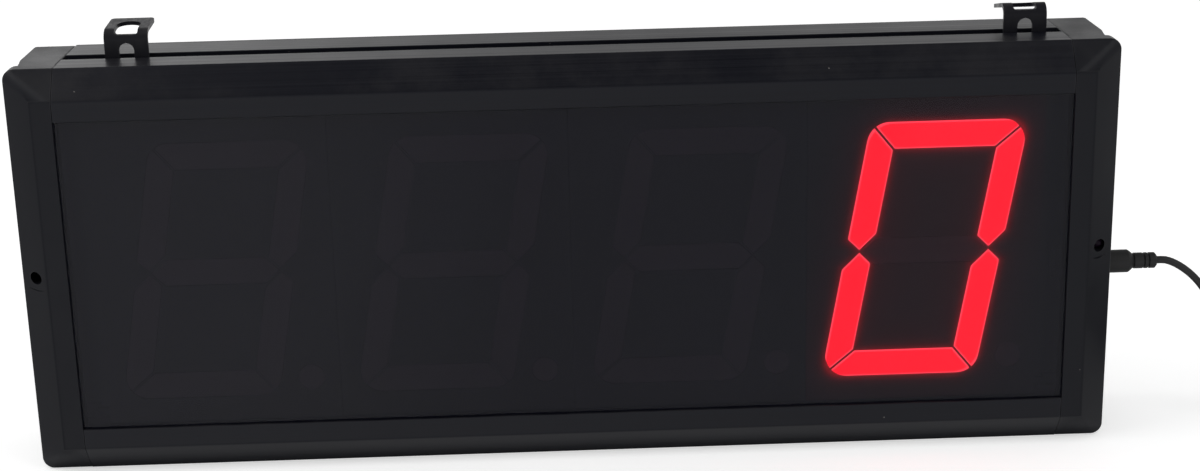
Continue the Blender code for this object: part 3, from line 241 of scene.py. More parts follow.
def make_housing_finish(name, lit):
    """Printed matt black, with the mould's grain only just there under the print."""
    made, tree, shader = new_finish(name, (0.018, 0.016, 0.019), 0.6, 0.3)
    grain, base = grained(tree, 0.0012, (0.0155, 0.014, 0.0165), (0.0205, 0.018, 0.0215))
    feed(tree, shader, {"Base Color": base, "Roughness": ramp(tree, grain["Tone"], 0.3, 0.7, 0.56, 0.64)})
    if lit:
        creep_light(tree, shader)
    return made


def finish_node(name, made):
    """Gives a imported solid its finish."""
    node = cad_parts[name]
    node.data.materials.clear()
    node.data.materials.append(made)
    return node


dark_housing = make_housing_finish("printed_module_face", lit=False)
glowing_housing = make_housing_finish("printed_module_face_beside_light", lit=True)
for number in range(1, MODULE_COUNT + 1):
    finish_node(f"digit_{number}_housing", glowing_housing if number == MODULE_COUNT else dark_housing)

# Diffusers
# Each segment and decimal point is a milky bar of cast resin that fills its pocket flush. Seven of them
# draw a digit that leans ten degrees. The fourth digit's outer six are lit, so that it reads nought.
LIT_RIM = (-0.0007, -0.0003)
LIT_STRENGTH = 7.0
ARRIS = 0.0003


def soften_edges(node, width, angle=35):
    """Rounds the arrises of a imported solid, without changing its mesh."""
    weld = node.modifiers.new("closed seams", "WELD")
    weld.merge_threshold = 0.000002
    rounding = node.modifiers.new("rounded arrises", "BEVEL")
    rounding.width = width
    rounding.segments = 2
    rounding.angle_limit = math.radians(angle)
    rounding.use_clamp_overlap = True
    rounding.harden_normals = True


def make_unlit_resin(name, beside_light=False):
    made, tree, shader = new_finish(name, (0.12, 0.068, 0.104), 0.45, 0.3)
    grain, base = grained(tree, 0.0006, (0.102, 0.057, 0.09), (0.138, 0.08, 0.118))
    feed(tree, shader, {"Base Color": base}, grain["Height"], 0.2, 0.0001)
    if beside_light:
        creep_light(tree, shader)
    return made


def make_lit_resin():
    """Lit from behind. The light gathers in a thin line along the sides of each bar."""
    made, tree, shader = new_finish("lit_milky_resin", (0.5, 0.06, 0.07), 0.5, 0.3)
    grain, base = grained(tree, 0.0012, (0.42, 0.05, 0.06), (0.55, 0.07, 0.08))
    body = blend_colours(tree, grain["Tone"], (1.0, 0.0036, 0.0165), (1.0, 0.0062, 0.0225))
    rim = ramp(tree, use_effect(tree, digit_outline)["Distance"], *LIT_RIM)
    glow = blend_colours(tree, rim, body, (1.0, 0.042, 0.072))
    feed(tree, shader, {"Base Color": base, "Emission Color": glow})
    shader.inputs["Emission Strength"].default_value = LIT_STRENGTH
    return made


unlit_resin = make_unlit_resin("unlit_milky_resin")
resin_beside_light = make_unlit_resin("milky_resin_beside_light", beside_light=True)
lit_resin = make_lit_resin()
for number in range(1, MODULE_COUNT + 1):
    for part in [*(f"segment_{letter}" for letter in "abcdefg"), "point"]:
        resin = unlit_resin
        if number == MODULE_COUNT:
            resin = resin_beside_light if part in ("segment_g", "point") else lit_resin
        soften_edges(finish_node(f"digit_{number}_{part}", resin), ARRIS)

# Display board
# A glass fibre board in black lacquer stands in the rails' grooves behind the modules. Its tracks run
# under the lacquer, and components are soldered on its back: drivers, a buzzer and the lead's socket.
COMPONENTS_Y = 0.00335
TRACKS = {"Scale": 1.0, "Mortar Size": 0.00022, "Brick Width": 0.017, "Row Height": 0.0013}


def stretched(tree, at, scale=(1, 1, 1), turn=(0, 0, 0)):
    """A position stretched along each axis and turned, for patterns that run one way."""
    return place(tree, "Mapping", {"Vector": at, "Rotation": turn, "Scale": scale}).outputs[0]


def make_board_finish():
    made, tree, shader = new_finish("lacquered_circuit_board", (0.008, 0.009, 0.009), 0.35)
    at = position(tree)
    upright = stretched(tree, at, turn=(math.pi / 2, 0, 0))
    tracks = place(tree, "TexBrick", {"Vector": upright, **TRACKS}, offset=0.37).outputs["Fac"]
    lacquer = blend_colours(tree, tracks, (0.006, 0.007, 0.007), (0.011, 0.014, 0.012))
    component = sums(tree, "GREATER_THAN", split(tree, at)[1], COMPONENTS_Y)
    grain, black = grained(tree, 0.0003, (0.012, 0.012, 0.013), (0.03, 0.03, 0.032))
    base = blend_colours(tree, component, lacquer, black)
    rough = ramp(tree, component, 0, 1, 0.3, 0.55)
    height = sums(tree, "MULTIPLY_ADD", tracks, 0.5, sums(tree, "MULTIPLY", grain["Height"], 0.2))
    feed(tree, shader, {"Base Color": base, "Roughness": rough}, height, 0.5, 0.0001)
    return made


finish_node("display_board", make_board_finish())

# Front window
# One sheet of smoked acrylic, two and a half millimetres thick, slides in the front grooves. It is
# polished, so it mirrors the room faintly, and dark enough to hide the modules until they are lit.
DUST = (0.34, 0.32, 0.30)


def make_settled_dust():
    """A thin film of dust on faces that look up, and a few specks of lint anywhere."""
    numbers = {"Film": 0.3, "Specks": 1.0, "Spacing": 0.02}
    group, given, result = start_effect("settled dust", numbers, ("Mask",))
    at = position(group)
    up = split(group, place(group, "NewGeometry").outputs["Normal"])[2]
    cloudy = ramp(group, noise(group, at, 35.0, 6.0, 0.7), 0.35, 0.75)
    film = sums(group, "MULTIPLY", ramp(group, up, 0.2, 0.95), cloudy)
    film = sums(group, "MULTIPLY", film, given["Film"])
    spot = split(group, at)
    across = sums(group, "MULTIPLY_ADD", spot[1], 0.83, spot[0])
    along = sums(group, "MULTIPLY_ADD", spot[1], 0.71, spot[2])
    on_face = place(group, "CombineXYZ", {"X": across, "Y": along})
    density = sums(group, "DIVIDE", 1.0, given["Spacing"])
    cells = place(group, "TexVoronoi", {"Vector": on_face.outputs[0], "Scale": density})
    cells.voronoi_dimensions = "2D"
    tint = place(group, "SeparateColor", {0: cells.outputs["Color"]})
    chosen = sums(group, "GREATER_THAN", tint.outputs[0], 0.93)
    size = sums(group, "MULTIPLY_ADD", tint.outputs[1], 0.010, 0.006)
    speck = sums(group, "LESS_THAN", cells.outputs["Distance"], size)
    speck = sums(group, "MULTIPLY", sums(group, "MULTIPLY", speck, chosen), given["Specks"])
    group.links.new(sums(group, "ADD", film, speck, clamp=True), result["Mask"])
    return group


settled_dust = make_settled_dust()


def make_smoked_acrylic():
    made, tree, shader = new_finish("smoked_acrylic", (0.0083, 0.0083, 0.0155), 0.03, 0.2)
    shader.inputs["Alpha"].default_value = 0.6
    dust = use_effect(tree, settled_dust, {"Film": 0.0, "Specks": 0.6, "Spacing": 0.018})["Mask"]
    at = position(tree)
    haze = noise(tree, at, 14.0, 4.0, 0.6)
    body = blend_colours(tree, ramp(tree, haze, 0.3, 0.7), (0.0076, 0.0076, 0.0145), (0.009, 0.009, 0.0165))
    base = blend_colours(tree, dust, body, DUST)
    rough = sums(tree, "MULTIPLY_ADD", dust, 0.5, ramp(tree, haze, 0.3, 0.7, 0.02, 0.05))
    feed(tree, shader, {"Base Color": base, "Roughness": rough}, noise(tree, at, 22.0, 1.0), 0.06, 0.0004)
    return made


soften_edges(finish_node("front_window", make_smoked_acrylic()), ARRIS)

# Back panel
# A stiff sheet of black plastic with a fine leathery surface slides in the rear grooves and closes the
# case. It has been handled and wiped, so it carries faint scuffs.


def make_back_sheet():
    made, tree, shader = new_finish("black_plastic_sheet", (0.022, 0.022, 0.024), 0.5, 0.35)
    grain, base = grained(tree, 0.0008, (0.015, 0.015, 0.016), (0.029, 0.029, 0.031))
    swept = stretched(tree, position(tree), (9, 60, 260), (0, 0.5, 0))
    scuffed = ramp(tree, noise(tree, swept, 1.0, 7.0, 0.7), 0.56, 0.74)
    base = blend_colours(tree, sums(tree, "MULTIPLY", scuffed, 0.35), base, (0.06, 0.06, 0.062))
    rough = sums(tree, "MULTIPLY_ADD", scuffed, -0.12, ramp(tree, grain["Tone"], 0.3, 0.7, 0.46, 0.6))
    feed(tree, shader, {"Base Color": base, "Roughness": rough}, grain["Height"], 0.35, 0.00015)
    return made


soften_edges(finish_node("back_panel", make_back_sheet()), ARRIS)

# Rails
# The top and bottom of the frame are two lengths of one aluminium extrusion, the bottom one turned over,
# sawn to length and anodised black. Its outer face has a T-slot, and drawing lines run along it.
WINDOW_WIDTH = 0.381
WINDOW_HEIGHT = 0.122
RAIL_HEIGHT = 0.019
CASE_DEPTH = 0.052
JOINT_GAP = 0.0003
BEZEL_FLAT = 0.0079
BEZEL_SETBACK = 0.0083
BEZEL_BEND = 0.0022
LIP_EASE = 0.00035
SLOT_FRONT = 0.0238
SLOT_BACK = 0.0316
CHANNEL_FRONT = 0.02
CHANNEL_BACK = 0.0354
CHANNEL_TOP = 0.0172
CHANNEL_FLOOR = 0.0144
GROOVE_DEPTH = 0.0046
LIP_THICKNESS = 0.0012
RIB_START = 0.0012
RIBS = ((0.0482, 0.0470), (0.0308, 0.0296), (0.0274, 0.0262), (0.0055, 0.0043))
DIE_ROUND = 0.0002
SLOT_ROUND = 0.0003
HOLLOW_FLOOR = 0.0062
HOLLOW_ROOF = 0.0174
HOLLOW_ROUND = 0.0008
FRONT_HOLLOW = (0.0016, 0.0184)
FRONT_HOLLOW_BEND = 0.0074
FRONT_HOLLOW_BROW = 0.0091
LOW_HOLLOWS = ((0.02, 0.02435), (0.03105, 0.0354))
LOW_HOLLOW_ROOF = 0.0128
BACK_HOLLOW = (0.037, 0.0504)
PORT_OUT = 0.0095
PORT_DEPTHS = (0.0277, 0.0437)
PORT_RADIUS = 0.00175
PORT_WALL_RADIUS = 0.00335


def round_corners(points, steps):
    """A line of (a, b, radius) corners with each one turned into an arc that touches both its sides."""
    line = []
    for i, (a, b, radius) in enumerate(points):
        here = Vector((a, b))
        before = Vector(points[i - 1][:2]) - here
        after = Vector(points[(i + 1) % len(points)][:2]) - here
        if radius <= 0 or before.length == 0 or after.length == 0:
            line.append((a, b))
            continue
        half = before.angle(after) / 2
        reach = radius / math.tan(half)
        middle = here + (before.normalized() + after.normalized()).normalized() * (radius / math.sin(half))
        start = here + before.normalized() * reach - middle
        turn = start.angle_signed(here + after.normalized() * reach - middle)
        for step in range(steps + 1):
            spoke = start.copy()
            spoke.rotate(Matrix.Rotation(-turn * step / steps, 2))
            line.append(tuple(middle + spoke))
    return line


def bezel_corners(edge_round):
    """The frame's front as (depth, out, radius) corners, from the window's edge to the outer edge."""
    return [(0, 0, LIP_EASE), (0, BEZEL_FLAT, BEZEL_BEND), (BEZEL_SETBACK, RAIL_HEIGHT, edge_round)]


def rail_corners():
    """The extrusion's outer contour, from the front lip over the T-slot to the grooves for the sheets."""
    corners = bezel_corners(0.0004)
    corners += [
        (SLOT_FRONT, RAIL_HEIGHT, SLOT_ROUND),
        (SLOT_FRONT, CHANNEL_TOP, DIE_ROUND),
        (CHANNEL_FRONT, CHANNEL_TOP, SLOT_ROUND),
        (CHANNEL_FRONT, CHANNEL_FLOOR, SLOT_ROUND),
        (CHANNEL_BACK, CHANNEL_FLOOR, SLOT_ROUND),
        (CHANNEL_BACK, CHANNEL_TOP, SLOT_ROUND),
        (SLOT_BACK, CHANNEL_TOP, DIE_ROUND),
        (SLOT_BACK, RAIL_HEIGHT, SLOT_ROUND),
        (CASE_DEPTH, RAIL_HEIGHT, 0.0005),
        (CASE_DEPTH, 0, SLOT_ROUND),
    ]
    inner = [(CASE_DEPTH - LIP_THICKNESS, 0), (CASE_DEPTH - LIP_THICKNESS, GROOVE_DEPTH)]
    for back, front in RIBS:
        inner += [(back, GROOVE_DEPTH), (back, RIB_START), (front, RIB_START), (front, GROOVE_DEPTH)]
    inner += [(LIP_THICKNESS, GROOVE_DEPTH), (LIP_THICKNESS, 0)]
    return corners + [(*corner, DIE_ROUND) for corner in inner]


def arc(centre, radius, start, end, steps):
    """Points on an arc between two angles, in degrees."""
    turns = [math.radians(start + (end - start) * i / steps) for i in range(steps + 1)]
    return [(centre[0] + radius * math.cos(turn), centre[1] + radius * math.sin(turn)) for turn in turns]


def rail_hollows():
    """The hollows that keep the extrusion's walls even, and its two screw ports."""
    near, far = FRONT_HOLLOW
    front = [(near, HOLLOW_FLOOR, HOLLOW_ROUND), (near, FRONT_HOLLOW_BEND, 0)]
    front += [(FRONT_HOLLOW_BROW, HOLLOW_ROOF, HOLLOW_ROUND), (far, HOLLOW_ROOF, HOLLOW_ROUND)]
    front.append((far, HOLLOW_FLOOR, HOLLOW_ROUND))
    lines = [round_corners(front, 4)]
    for near, far in LOW_HOLLOWS:
        cell = [(near, HOLLOW_FLOOR), (near, LOW_HOLLOW_ROOF), (far, LOW_HOLLOW_ROOF), (far, HOLLOW_FLOOR)]
        lines.append(round_corners([(*corner, HOLLOW_ROUND) for corner in cell], 4))
    near, far = BACK_HOLLOW
    around = [(near, HOLLOW_FLOOR), (near, HOLLOW_ROOF), (far, HOLLOW_ROOF), (far, HOLLOW_FLOOR)]
    sweep = math.degrees(math.asin((PORT_OUT - HOLLOW_FLOOR) / PORT_WALL_RADIUS))
    around += arc((PORT_DEPTHS[1], PORT_OUT), PORT_WALL_RADIUS, -sweep, 180 + sweep, 16)
    lines.append(around)
    lines += [arc((depth, PORT_OUT), PORT_RADIUS, 0, 360 * 31 / 32, 31) for depth in PORT_DEPTHS]
    return lines


def as_solid(name, made_from):
    """The mesh of an object with everything on it applied, in place of the object."""
    bpy.context.view_layer.update()
    evaluated = made_from.evaluated_get(bpy.context.evaluated_depsgraph_get())
    data = bpy.data.meshes.new_from_object(evaluated)
    data.transform(made_from.matrix_world)
    if made_from.matrix_world.determinant() < 0:
        data.flip_normals()
    bpy.data.objects.remove(made_from)
    solid = bpy.data.objects.new(name, data)
    bpy.context.scene.collection.objects.link(solid)
    return solid


def shade_round(solid, angle=32):
    """Smooth shading over curved faces, with the sharp edges kept."""
    solid.data.shade_smooth()
    solid.data.set_sharp_from_angle(angle=math.radians(angle))
    even = solid.modifiers.new("even shading", "WEIGHTED_NORMAL")
    even.keep_sharp = True
    even.weight = 60
    return solid


def dress(piece, finish, slot, body, *nodes):
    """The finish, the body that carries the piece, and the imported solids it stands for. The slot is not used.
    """
    piece.data.materials.clear()
    piece.data.materials.append(finish)
    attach(piece, body)
    if nodes:
        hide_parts(*nodes)
    return piece


def draw_rail(name, turned_over):
    """One length of the extrusion, for the top of the frame or turned over for the bottom."""
    line = bpy.data.curves.new(name, "CURVE")
    line.dimensions = "2D"
    line.fill_mode = "BOTH"
    line.extrude = (WINDOW_WIDTH - JOINT_GAP) / 2
    for outline in [round_corners(rail_corners(), 8), *rail_hollows()]:
        spline = line.splines.new("POLY")
        spline.points.add(len(outline) - 1)
        for point, (depth, out) in zip(spline.points, outline):
            point.co = (depth, out, 0, 1)
        spline.use_cyclic_u = True
    drawn = bpy.data.objects.new(name + "_line", line)
    bpy.context.scene.collection.objects.link(drawn)
    upright = Matrix(((0, 0, 1), (1, 0, 0), (0, 1, 0))).to_4x4()
    over = Matrix.Rotation(math.pi, 4, "Y") if turned_over else Matrix.Identity(4)
    level = RAIL_HEIGHT if turned_over else RAIL_HEIGHT + WINDOW_HEIGHT
    drawn.matrix_world = Matrix.Translation((0, -CASE_DEPTH / 2, level)) @ over @ upright
    return shade_round(as_solid(name, drawn), 28)


def make_edge_wear():
    """A mask of the edges that hands and cloths rub, broken up along their length."""
    group, given, result = start_effect("edge wear", {"Width": 0.0004, "Amount": 1.0}, ("Mask",))
    rounded = place(group, "Bevel", {"Radius": given["Width"]}, samples=6).outputs[0]
    plain = place(group, "NewGeometry").outputs["Normal"]
    facing = place(group, "VectorMath", {0: rounded, 1: plain}, operation="DOT_PRODUCT")
    edge = ramp(group, facing.outputs["Value"], 0.995, 0.86)
    broken = ramp(group, noise(group, position(group), 70.0, 5.0, 0.65), 0.38, 0.66)
    mask = sums(group, "MULTIPLY", sums(group, "MULTIPLY", edge, broken), given["Amount"], clamp=True)
    group.links.new(mask, result["Mask"])
    return group


def make_drawing_lines():
    """The faint lines that the die leaves along an extrusion, as a height and as a tone."""
    group, given, result = start_effect("drawing lines", {"Fineness": 1.0}, ("Height", "Tone"))
    at = position(group)
    close = noise(group, stretched(group, at, (2.2, 2600, 2600)), given["Fineness"], 3.0)
    wide = noise(group, stretched(group, at, (1.1, 620, 620)), given["Fineness"], 4.0)
    height = sums(group, "MULTIPLY_ADD", close, 0.7, sums(group, "MULTIPLY", wide, 0.3))
    group.links.new(height, result["Height"])
    group.links.new(ramp(group, height, 0.36, 0.64), result["Tone"])
    return group


edge_wear = make_edge_wear()
drawing_lines = make_drawing_lines()


def age(tree, base, worn, wear, dust, dusty=0.6):
    """A base colour with its edges rubbed to a worn one and dust settled on it, and the two masks.

    Wear is a width and an amount. Dust is a film, its specks and their spacing.
    """
    wear = use_effect(tree, edge_wear, dict(zip(("Width", "Amount"), wear)))["Mask"]
    dust = use_effect(tree, settled_dust, dict(zip(("Film", "Specks", "Spacing"), dust)))["Mask"]
    base = blend_colours(tree, wear, base, worn)
    return blend_colours(tree, sums(tree, "MULTIPLY", dust, dusty), base, DUST), wear, dust


def make_black_anodising():
    made, tree, shader = new_finish("black_anodised_aluminium", (0.004, 0.0045, 0.0085), 0.32, 0.19)
    lines = use_effect(tree, drawing_lines)
    grain = use_effect(tree, moulded_grain, {"Grain Size": 0.00012})
    base = blend_colours(tree, lines["Tone"], (0.0032, 0.0036, 0.0072), (0.005, 0.0056, 0.0098))
    base, _, dust = age(tree, base, (0.08, 0.082, 0.09), (0.0005, 0.4), (0.08, 0.7, 0.02))
    rough = ramp(tree, lines["Tone"], 0.0, 1.0, 0.26, 0.36)
    rough = sums(tree, "MULTIPLY_ADD", grain["Tone"], 0.08, rough)
    rough = sums(tree, "MULTIPLY_ADD", dust, 0.4, rough, clamp=True)
    height = sums(tree, "MULTIPLY_ADD", grain["Height"], 0.25, lines["Height"])
    feed(tree, shader, {"Base Color": base, "Roughness": rough}, height, 0.11, 0.00006)
    return made


black_anodising = make_black_anodising()
for rail_name, turned_over in (("top_rail", False), ("bottom_rail", True)):
    rail = draw_rail(rail_name + "_extrusion", turned_over)
    dress(rail, black_anodising, "anodised_aluminium", "case", rail_name)

# Hanging lugs
# Two lugs, stamped and folded from blackened steel sheet, slide in the top rail's T-slot. The toe and a
# tongue cut out of the plate hold it under both lips, and a hook or screw goes through the slot above.
LUG_WIDTH = 0.0165
LUG_THICKNESS = 0.0015
LUG_TOE = 0.0043
LUG_FOOT_BEND = 0.0016
LUG_TOP_BEND = 0.0037
LUG_RISE = 0.0107
LUG_FLANGE = 0.0144
LUG_ARCH_WIDTH = 0.0058
LUG_ARCH_RISE = 0.0055
LUG_SLOT_WIDTH = 0.0088
LUG_SLOT_SILL = 0.0086
LUG_SLOT_REACH = 0.0128
LUG_SLOT_CORNER = 0.0011
LUG_TONGUE = 0.0092
LUG_CORNER = 0.0018
LUG_PLAY = 0.0003
LUGS = (("left_lug", -0.1657, 4), ("right_lug", 0.1762, -12))
CASE_HEIGHT = WINDOW_HEIGHT + 2 * RAIL_HEIGHT


def prism(name, outline, low, high, direction):
    """A closed solid between two copies of an outline, along X, through the depth (Y) or upwards (Z)."""
    spots = {
        "X": lambda a, b, level: (level, a - CASE_DEPTH / 2, b),
        "Y": lambda a, b, level: (a, level - CASE_DEPTH / 2, b),
        "Z": lambda a, b, level: (a, b - CASE_DEPTH / 2, level),
    }
    built = bmesh.new()
    rings = [[built.verts.new(spots[direction](a, b, level)) for a, b in outline] for level in (low, high)]
    built.faces.new(rings[0])
    built.faces.new(rings[1])
    for i in range(len(outline)):
        j = (i + 1) % len(outline)
        built.faces.new((rings[0][i], rings[0][j], rings[1][j], rings[1][i]))
    return mesh_object(name, built)


def mesh_object(name, built):
    """An object made of a built mesh, with doubled points welded and its faces turned outwards."""
    bmesh.ops.remove_doubles(built, verts=built.verts, dist=1e-7)
    bmesh.ops.dissolve_degenerate(built, edges=built.edges, dist=1e-7)
    bmesh.ops.recalc_face_normals(built, faces=built.faces)
    data = bpy.data.meshes.new(name)
    built.to_mesh(data)
    built.free()
    made = bpy.data.objects.new(name, data)
    bpy.context.scene.collection.objects.link(made)
    return made


def machine(blank, *steps):
    """A blank with each tool cut out of it, each lump joined to it, or all but its overlap taken away."""
    for operation, tool in steps:
        modifier = blank.modifiers.new(tool.name, "BOOLEAN")
        modifier.operation = operation
        modifier.object = tool
    solid = as_solid(blank.name, blank)
    for _, tool in steps:
        bpy.data.objects.remove(tool)
    return solid


def break_edges(solid, width, angle=35, segments=2):
    """Rounds every arris of a finished solid by a small radius."""
    rounding = solid.modifiers.new("broken edges", "BEVEL")
    rounding.width = width
    rounding.segments = segments
    rounding.angle_limit = math.radians(angle)
    return as_solid(solid.name, solid)


def folded_strip(depth, height, runs):
    """Both faces of a sheet folded along straight runs and bends, and the depth where it ends."""
    stations = [(depth, height, 0.0)]
    for kind, amount, radius in runs:
        depth, height, facing = stations[-1]
        if kind == "run":
            stations.append((depth + amount * math.cos(facing), height + amount * math.sin(facing), facing))
            continue
        side = 1 if amount > 0 else -1
        centre = (depth - side * radius * math.sin(facing), height + side * radius * math.cos(facing))
        for step in range(1, 13):
            now = facing + amount * step / 12
            at = (centre[0] + side * radius * math.sin(now), centre[1] - side * radius * math.cos(now))
            stations.append((*at, now))
    half = LUG_THICKNESS / 2
    upper = [(d - half * math.sin(turn), h + half * math.cos(turn)) for d, h, turn in stations]
    lower = [(d + half * math.sin(turn), h - half * math.cos(turn)) for d, h, turn in stations]
    return upper + lower[::-1], stations[-1][0]


def stamp_lug(name, x, tilt):
    """Toe, upright plate and tilted flange in one folded strip, trimmed, pierced and given its tongue."""
    plate = SLOT_FRONT + LUG_PLAY + LUG_THICKNESS / 2
    near_glow_with_painted_shade = CASE_HEIGHT - RAIL_HEIGHT + CHANNEL_FLOOR + LUG_PLAY + LUG_THICKNESS / 2
    top = CASE_HEIGHT + LUG_RISE - LUG_THICKNESS / 2
    outline, far = folded_strip(
        plate - LUG_TOE,
        near_glow_with_painted_shade,
        [
            ("run", LUG_TOE - LUG_FOOT_BEND, 0),
            ("turn", math.pi / 2, LUG_FOOT_BEND),
            ("run", top - near_glow_with_painted_shade - LUG_FOOT_BEND - LUG_TOP_BEND, 0),
            ("turn", tilt - math.pi / 2, LUG_TOP_BEND),
            ("run", LUG_FLANGE, 0),
        ],
    )
    far += math.sin(max(0.0, -tilt)) * LUG_THICKNESS / 2
    spare = LUG_THICKNESS
    low, high = x - LUG_WIDTH / 2, x + LUG_WIDTH / 2
    lug = prism(name, outline, low - spare, high + spare, "X")
    trim = [(low, plate - LUG_TOE - spare), (high, plate - LUG_TOE - spare)]
    trim += arc((high - LUG_CORNER, far - LUG_CORNER), LUG_CORNER, 0, 90, 8)
    trim += arc((low + LUG_CORNER, far - LUG_CORNER), LUG_CORNER, 90, 180, 8)
    blank = prism("blank", trim, near_glow_with_painted_shade - 2 * spare, top + LUG_RISE, "Z")
    half = LUG_ARCH_WIDTH / 2
    arch = [(x - half, near_glow_with_painted_shade - 2 * spare), (x + half, near_glow_with_painted_shade - 2 * spare)]
    arch += arc((x, CASE_HEIGHT + LUG_ARCH_RISE - half), half, 0, 180, 24)
    front = plate - LUG_FOOT_BEND - LUG_THICKNESS / 4
    arch_tool = prism("arch", arch, front, plate + LUG_THICKNESS, "Y")
    half_slot = LUG_SLOT_WIDTH / 2
    sill = CASE_HEIGHT + LUG_SLOT_SILL
    crown = plate + LUG_TOP_BEND
    inner = half_slot - LUG_SLOT_CORNER
    window = [(x - half_slot, top + LUG_RISE)]
    window += arc((x - inner, sill + LUG_SLOT_CORNER), LUG_SLOT_CORNER, 180, 270, 8)
    window += arc((x + inner, sill + LUG_SLOT_CORNER), LUG_SLOT_CORNER, 270, 360, 8)
    window.append((x + half_slot, top + LUG_RISE))
    window_tool = prism("window", window, plate - spare, crown + LUG_PLAY, "Y")
    hole = [(x - half_slot, crown), (x + half_slot, crown)]
    hole += arc((x, plate + LUG_SLOT_REACH - half_slot), half_slot, 0, 180, 24)
    hole_tool = prism("hole", hole, CASE_HEIGHT + LUG_SLOT_SILL / 3, top + LUG_RISE, "Z")
    half_tongue = half - LUG_PLAY
    root = plate - LUG_TOE + spare / 2
    tongue = [(x - half_tongue, root), (x + half_tongue, root)]
    tongue += arc((x, plate + LUG_TONGUE - half_tongue), half_tongue, 0, 180, 16)
    thin = LUG_THICKNESS / 2 - 0.00005
    tongue_lump = prism("tongue", tongue, near_glow_with_painted_shade - thin, near_glow_with_painted_shade + thin, "Z")
    cuts = [("DIFFERENCE", tool) for tool in (arch_tool, window_tool, hole_tool)]
    lug = machine(lug, ("INTERSECT", blank), *cuts, ("UNION", tongue_lump))
    return shade_round(break_edges(lug, 0.0002), 40)


def make_blackened_steel():
    made, tree, shader = new_finish("blackened_steel", (0.006, 0.006, 0.009), 0.38, 0.15)
    grain, base = grained(tree, 0.0004, (0.0038, 0.0039, 0.0064), (0.0078, 0.0079, 0.0116))
    base, wear, dust = age(tree, base, (0.1, 0.097, 0.1), (0.0005, 0.35), (0.14, 0.5, 0.012))
    marks = noise(tree, stretched(tree, position(tree), (900, 260, 60)), 1.0, 5.0, 0.65)
    rough = ramp(tree, marks, 0.3, 0.7, 0.31, 0.46)
    rough = sums(tree, "MULTIPLY_ADD", dust, 0.4, rough, clamp=True)
    metal = sums(tree, "MULTIPLY", wear, 0.7)
    height = sums(tree, "MULTIPLY_ADD", marks, 0.4, sums(tree, "MULTIPLY", grain["Height"], 0.6))
    feed(tree, shader, {"Base Color": base, "Roughness": rough, "Metallic": metal}, height, 0.3, 0.00006)
    return made


blackened_steel = make_blackened_steel()
for lug_name, lug_x, tilt in LUGS:
    lug = stamp_lug(lug_name + "_stamping", lug_x, math.radians(tilt))
    dress(lug, blackened_steel, "black_steel", lug_name + "_body", lug_name)

# Socket and remote receiver
# The power socket's bush shows in the right cap's side hole, and a dark domed lens for the remote control
# sits behind the round hole in the cap's front. Both are moulded, the lens in a tinted clear resin.


def make_soft_plastic(name, tone, roughness):
    """A soft black moulding with a dull, slightly waxy skin."""
    made, tree, shader = new_finish(name, (tone, tone, tone * 1.05), roughness, 0.3)
    dark, light = tone * 0.75, tone * 1.3
    grain, base = grained(tree, 0.00022, (dark, dark, dark * 1.05), (light, light, light * 1.05))
    base = age(tree, base, (tone * 4, tone * 4, tone * 4.1), (0.0003, 0.3), (0.1, 0.4, 0.012), 0.5)[0]
    rough = ramp(tree, grain["Tone"], 0.3, 0.7, roughness - 0.06, roughness + 0.08)
    feed(tree, shader, {"Base Color": base, "Roughness": rough}, grain["Height"], 0.3, 0.00006)
    return made


def make_tinted_lens():
    made, tree, shader = new_finish("tinted_lens_resin", (0.012, 0.006, 0.014), 0.14, 0.08)
    grain, base = grained(tree, 0.0008, (0.009, 0.004, 0.012), (0.016, 0.009, 0.018))
    feed(tree, shader, {"Base Color": base, "Roughness": ramp(tree, grain["Tone"], 0.3, 0.7, 0.06, 0.12)})
    return made


soft_plastic = make_soft_plastic("soft_black_plastic", 0.014, 0.5)
soften_edges(finish_node("dc_jack", soft_plastic), 0.0002)
soften_edges(finish_node("ir_receiver", make_tinted_lens()), 0.0001)

# End caps
# The two ends of the frame are moulded in black plastic. A cap carries on the rails' front shape round
# the window's end, with a thick flange and a tapered finger groove behind it, and closes the hollow ends.
CAP_WIDTH = 0.019
CAP_SPREAD = (CAP_WIDTH - JOINT_GAP / 6) / RAIL_HEIGHT
JOINT_X = WINDOW_WIDTH / 2 + JOINT_GAP / 6
CAP_OUTER_X = WINDOW_WIDTH / 2 + CAP_WIDTH
CAP_SIDE_X = CAP_OUTER_X - 0.0026
CAP_INSET = 0.0003
CAP_CORNER = 0.0045
CAP_BACK_ROUND = 0.0016
CAP_RIM_ROUND = 0.0008
CAP_WALL = 0.0022
FLANGE_BACK = BEZEL_SETBACK + 0.0067
FINGER_GROOVE = 0.002
FINGER_GROOVE_LENGTH = 0.012
POCKET_SIDE_X = CAP_SIDE_X - FINGER_GROOVE - CAP_WALL
POCKET_FRONT = 0.0095
SHEET_GROOVES = (("window_groove", 0.0012, 0.0043), ("panel_groove", 0.0476, 0.0508))
SHEET_REACH = 0.0033
HALF_SHEET = 0.0656
SENSOR_INSET = 0.0061
SENSOR_RADIUS = 0.0025
SENSOR_DEPTH = 0.0135
LEG_SLOT_FRONT = 0.0092
DIMPLE_RADIUS = 0.0102
DIMPLE_DROP = 0.0051
DIMPLE_DEPTH = 0.00035
DIMPLE_HEIGHT = 0.0009
BOSS_RADIUS = 0.0036
HEAD_SEAT = 0.0016
HEAD_SEAT_RADIUS = 0.0033
MOUTH_EASE = 0.0003
SOCKET_AXIS = (0.0050, 0.0645)
SOCKET_RADIUS = 0.0043


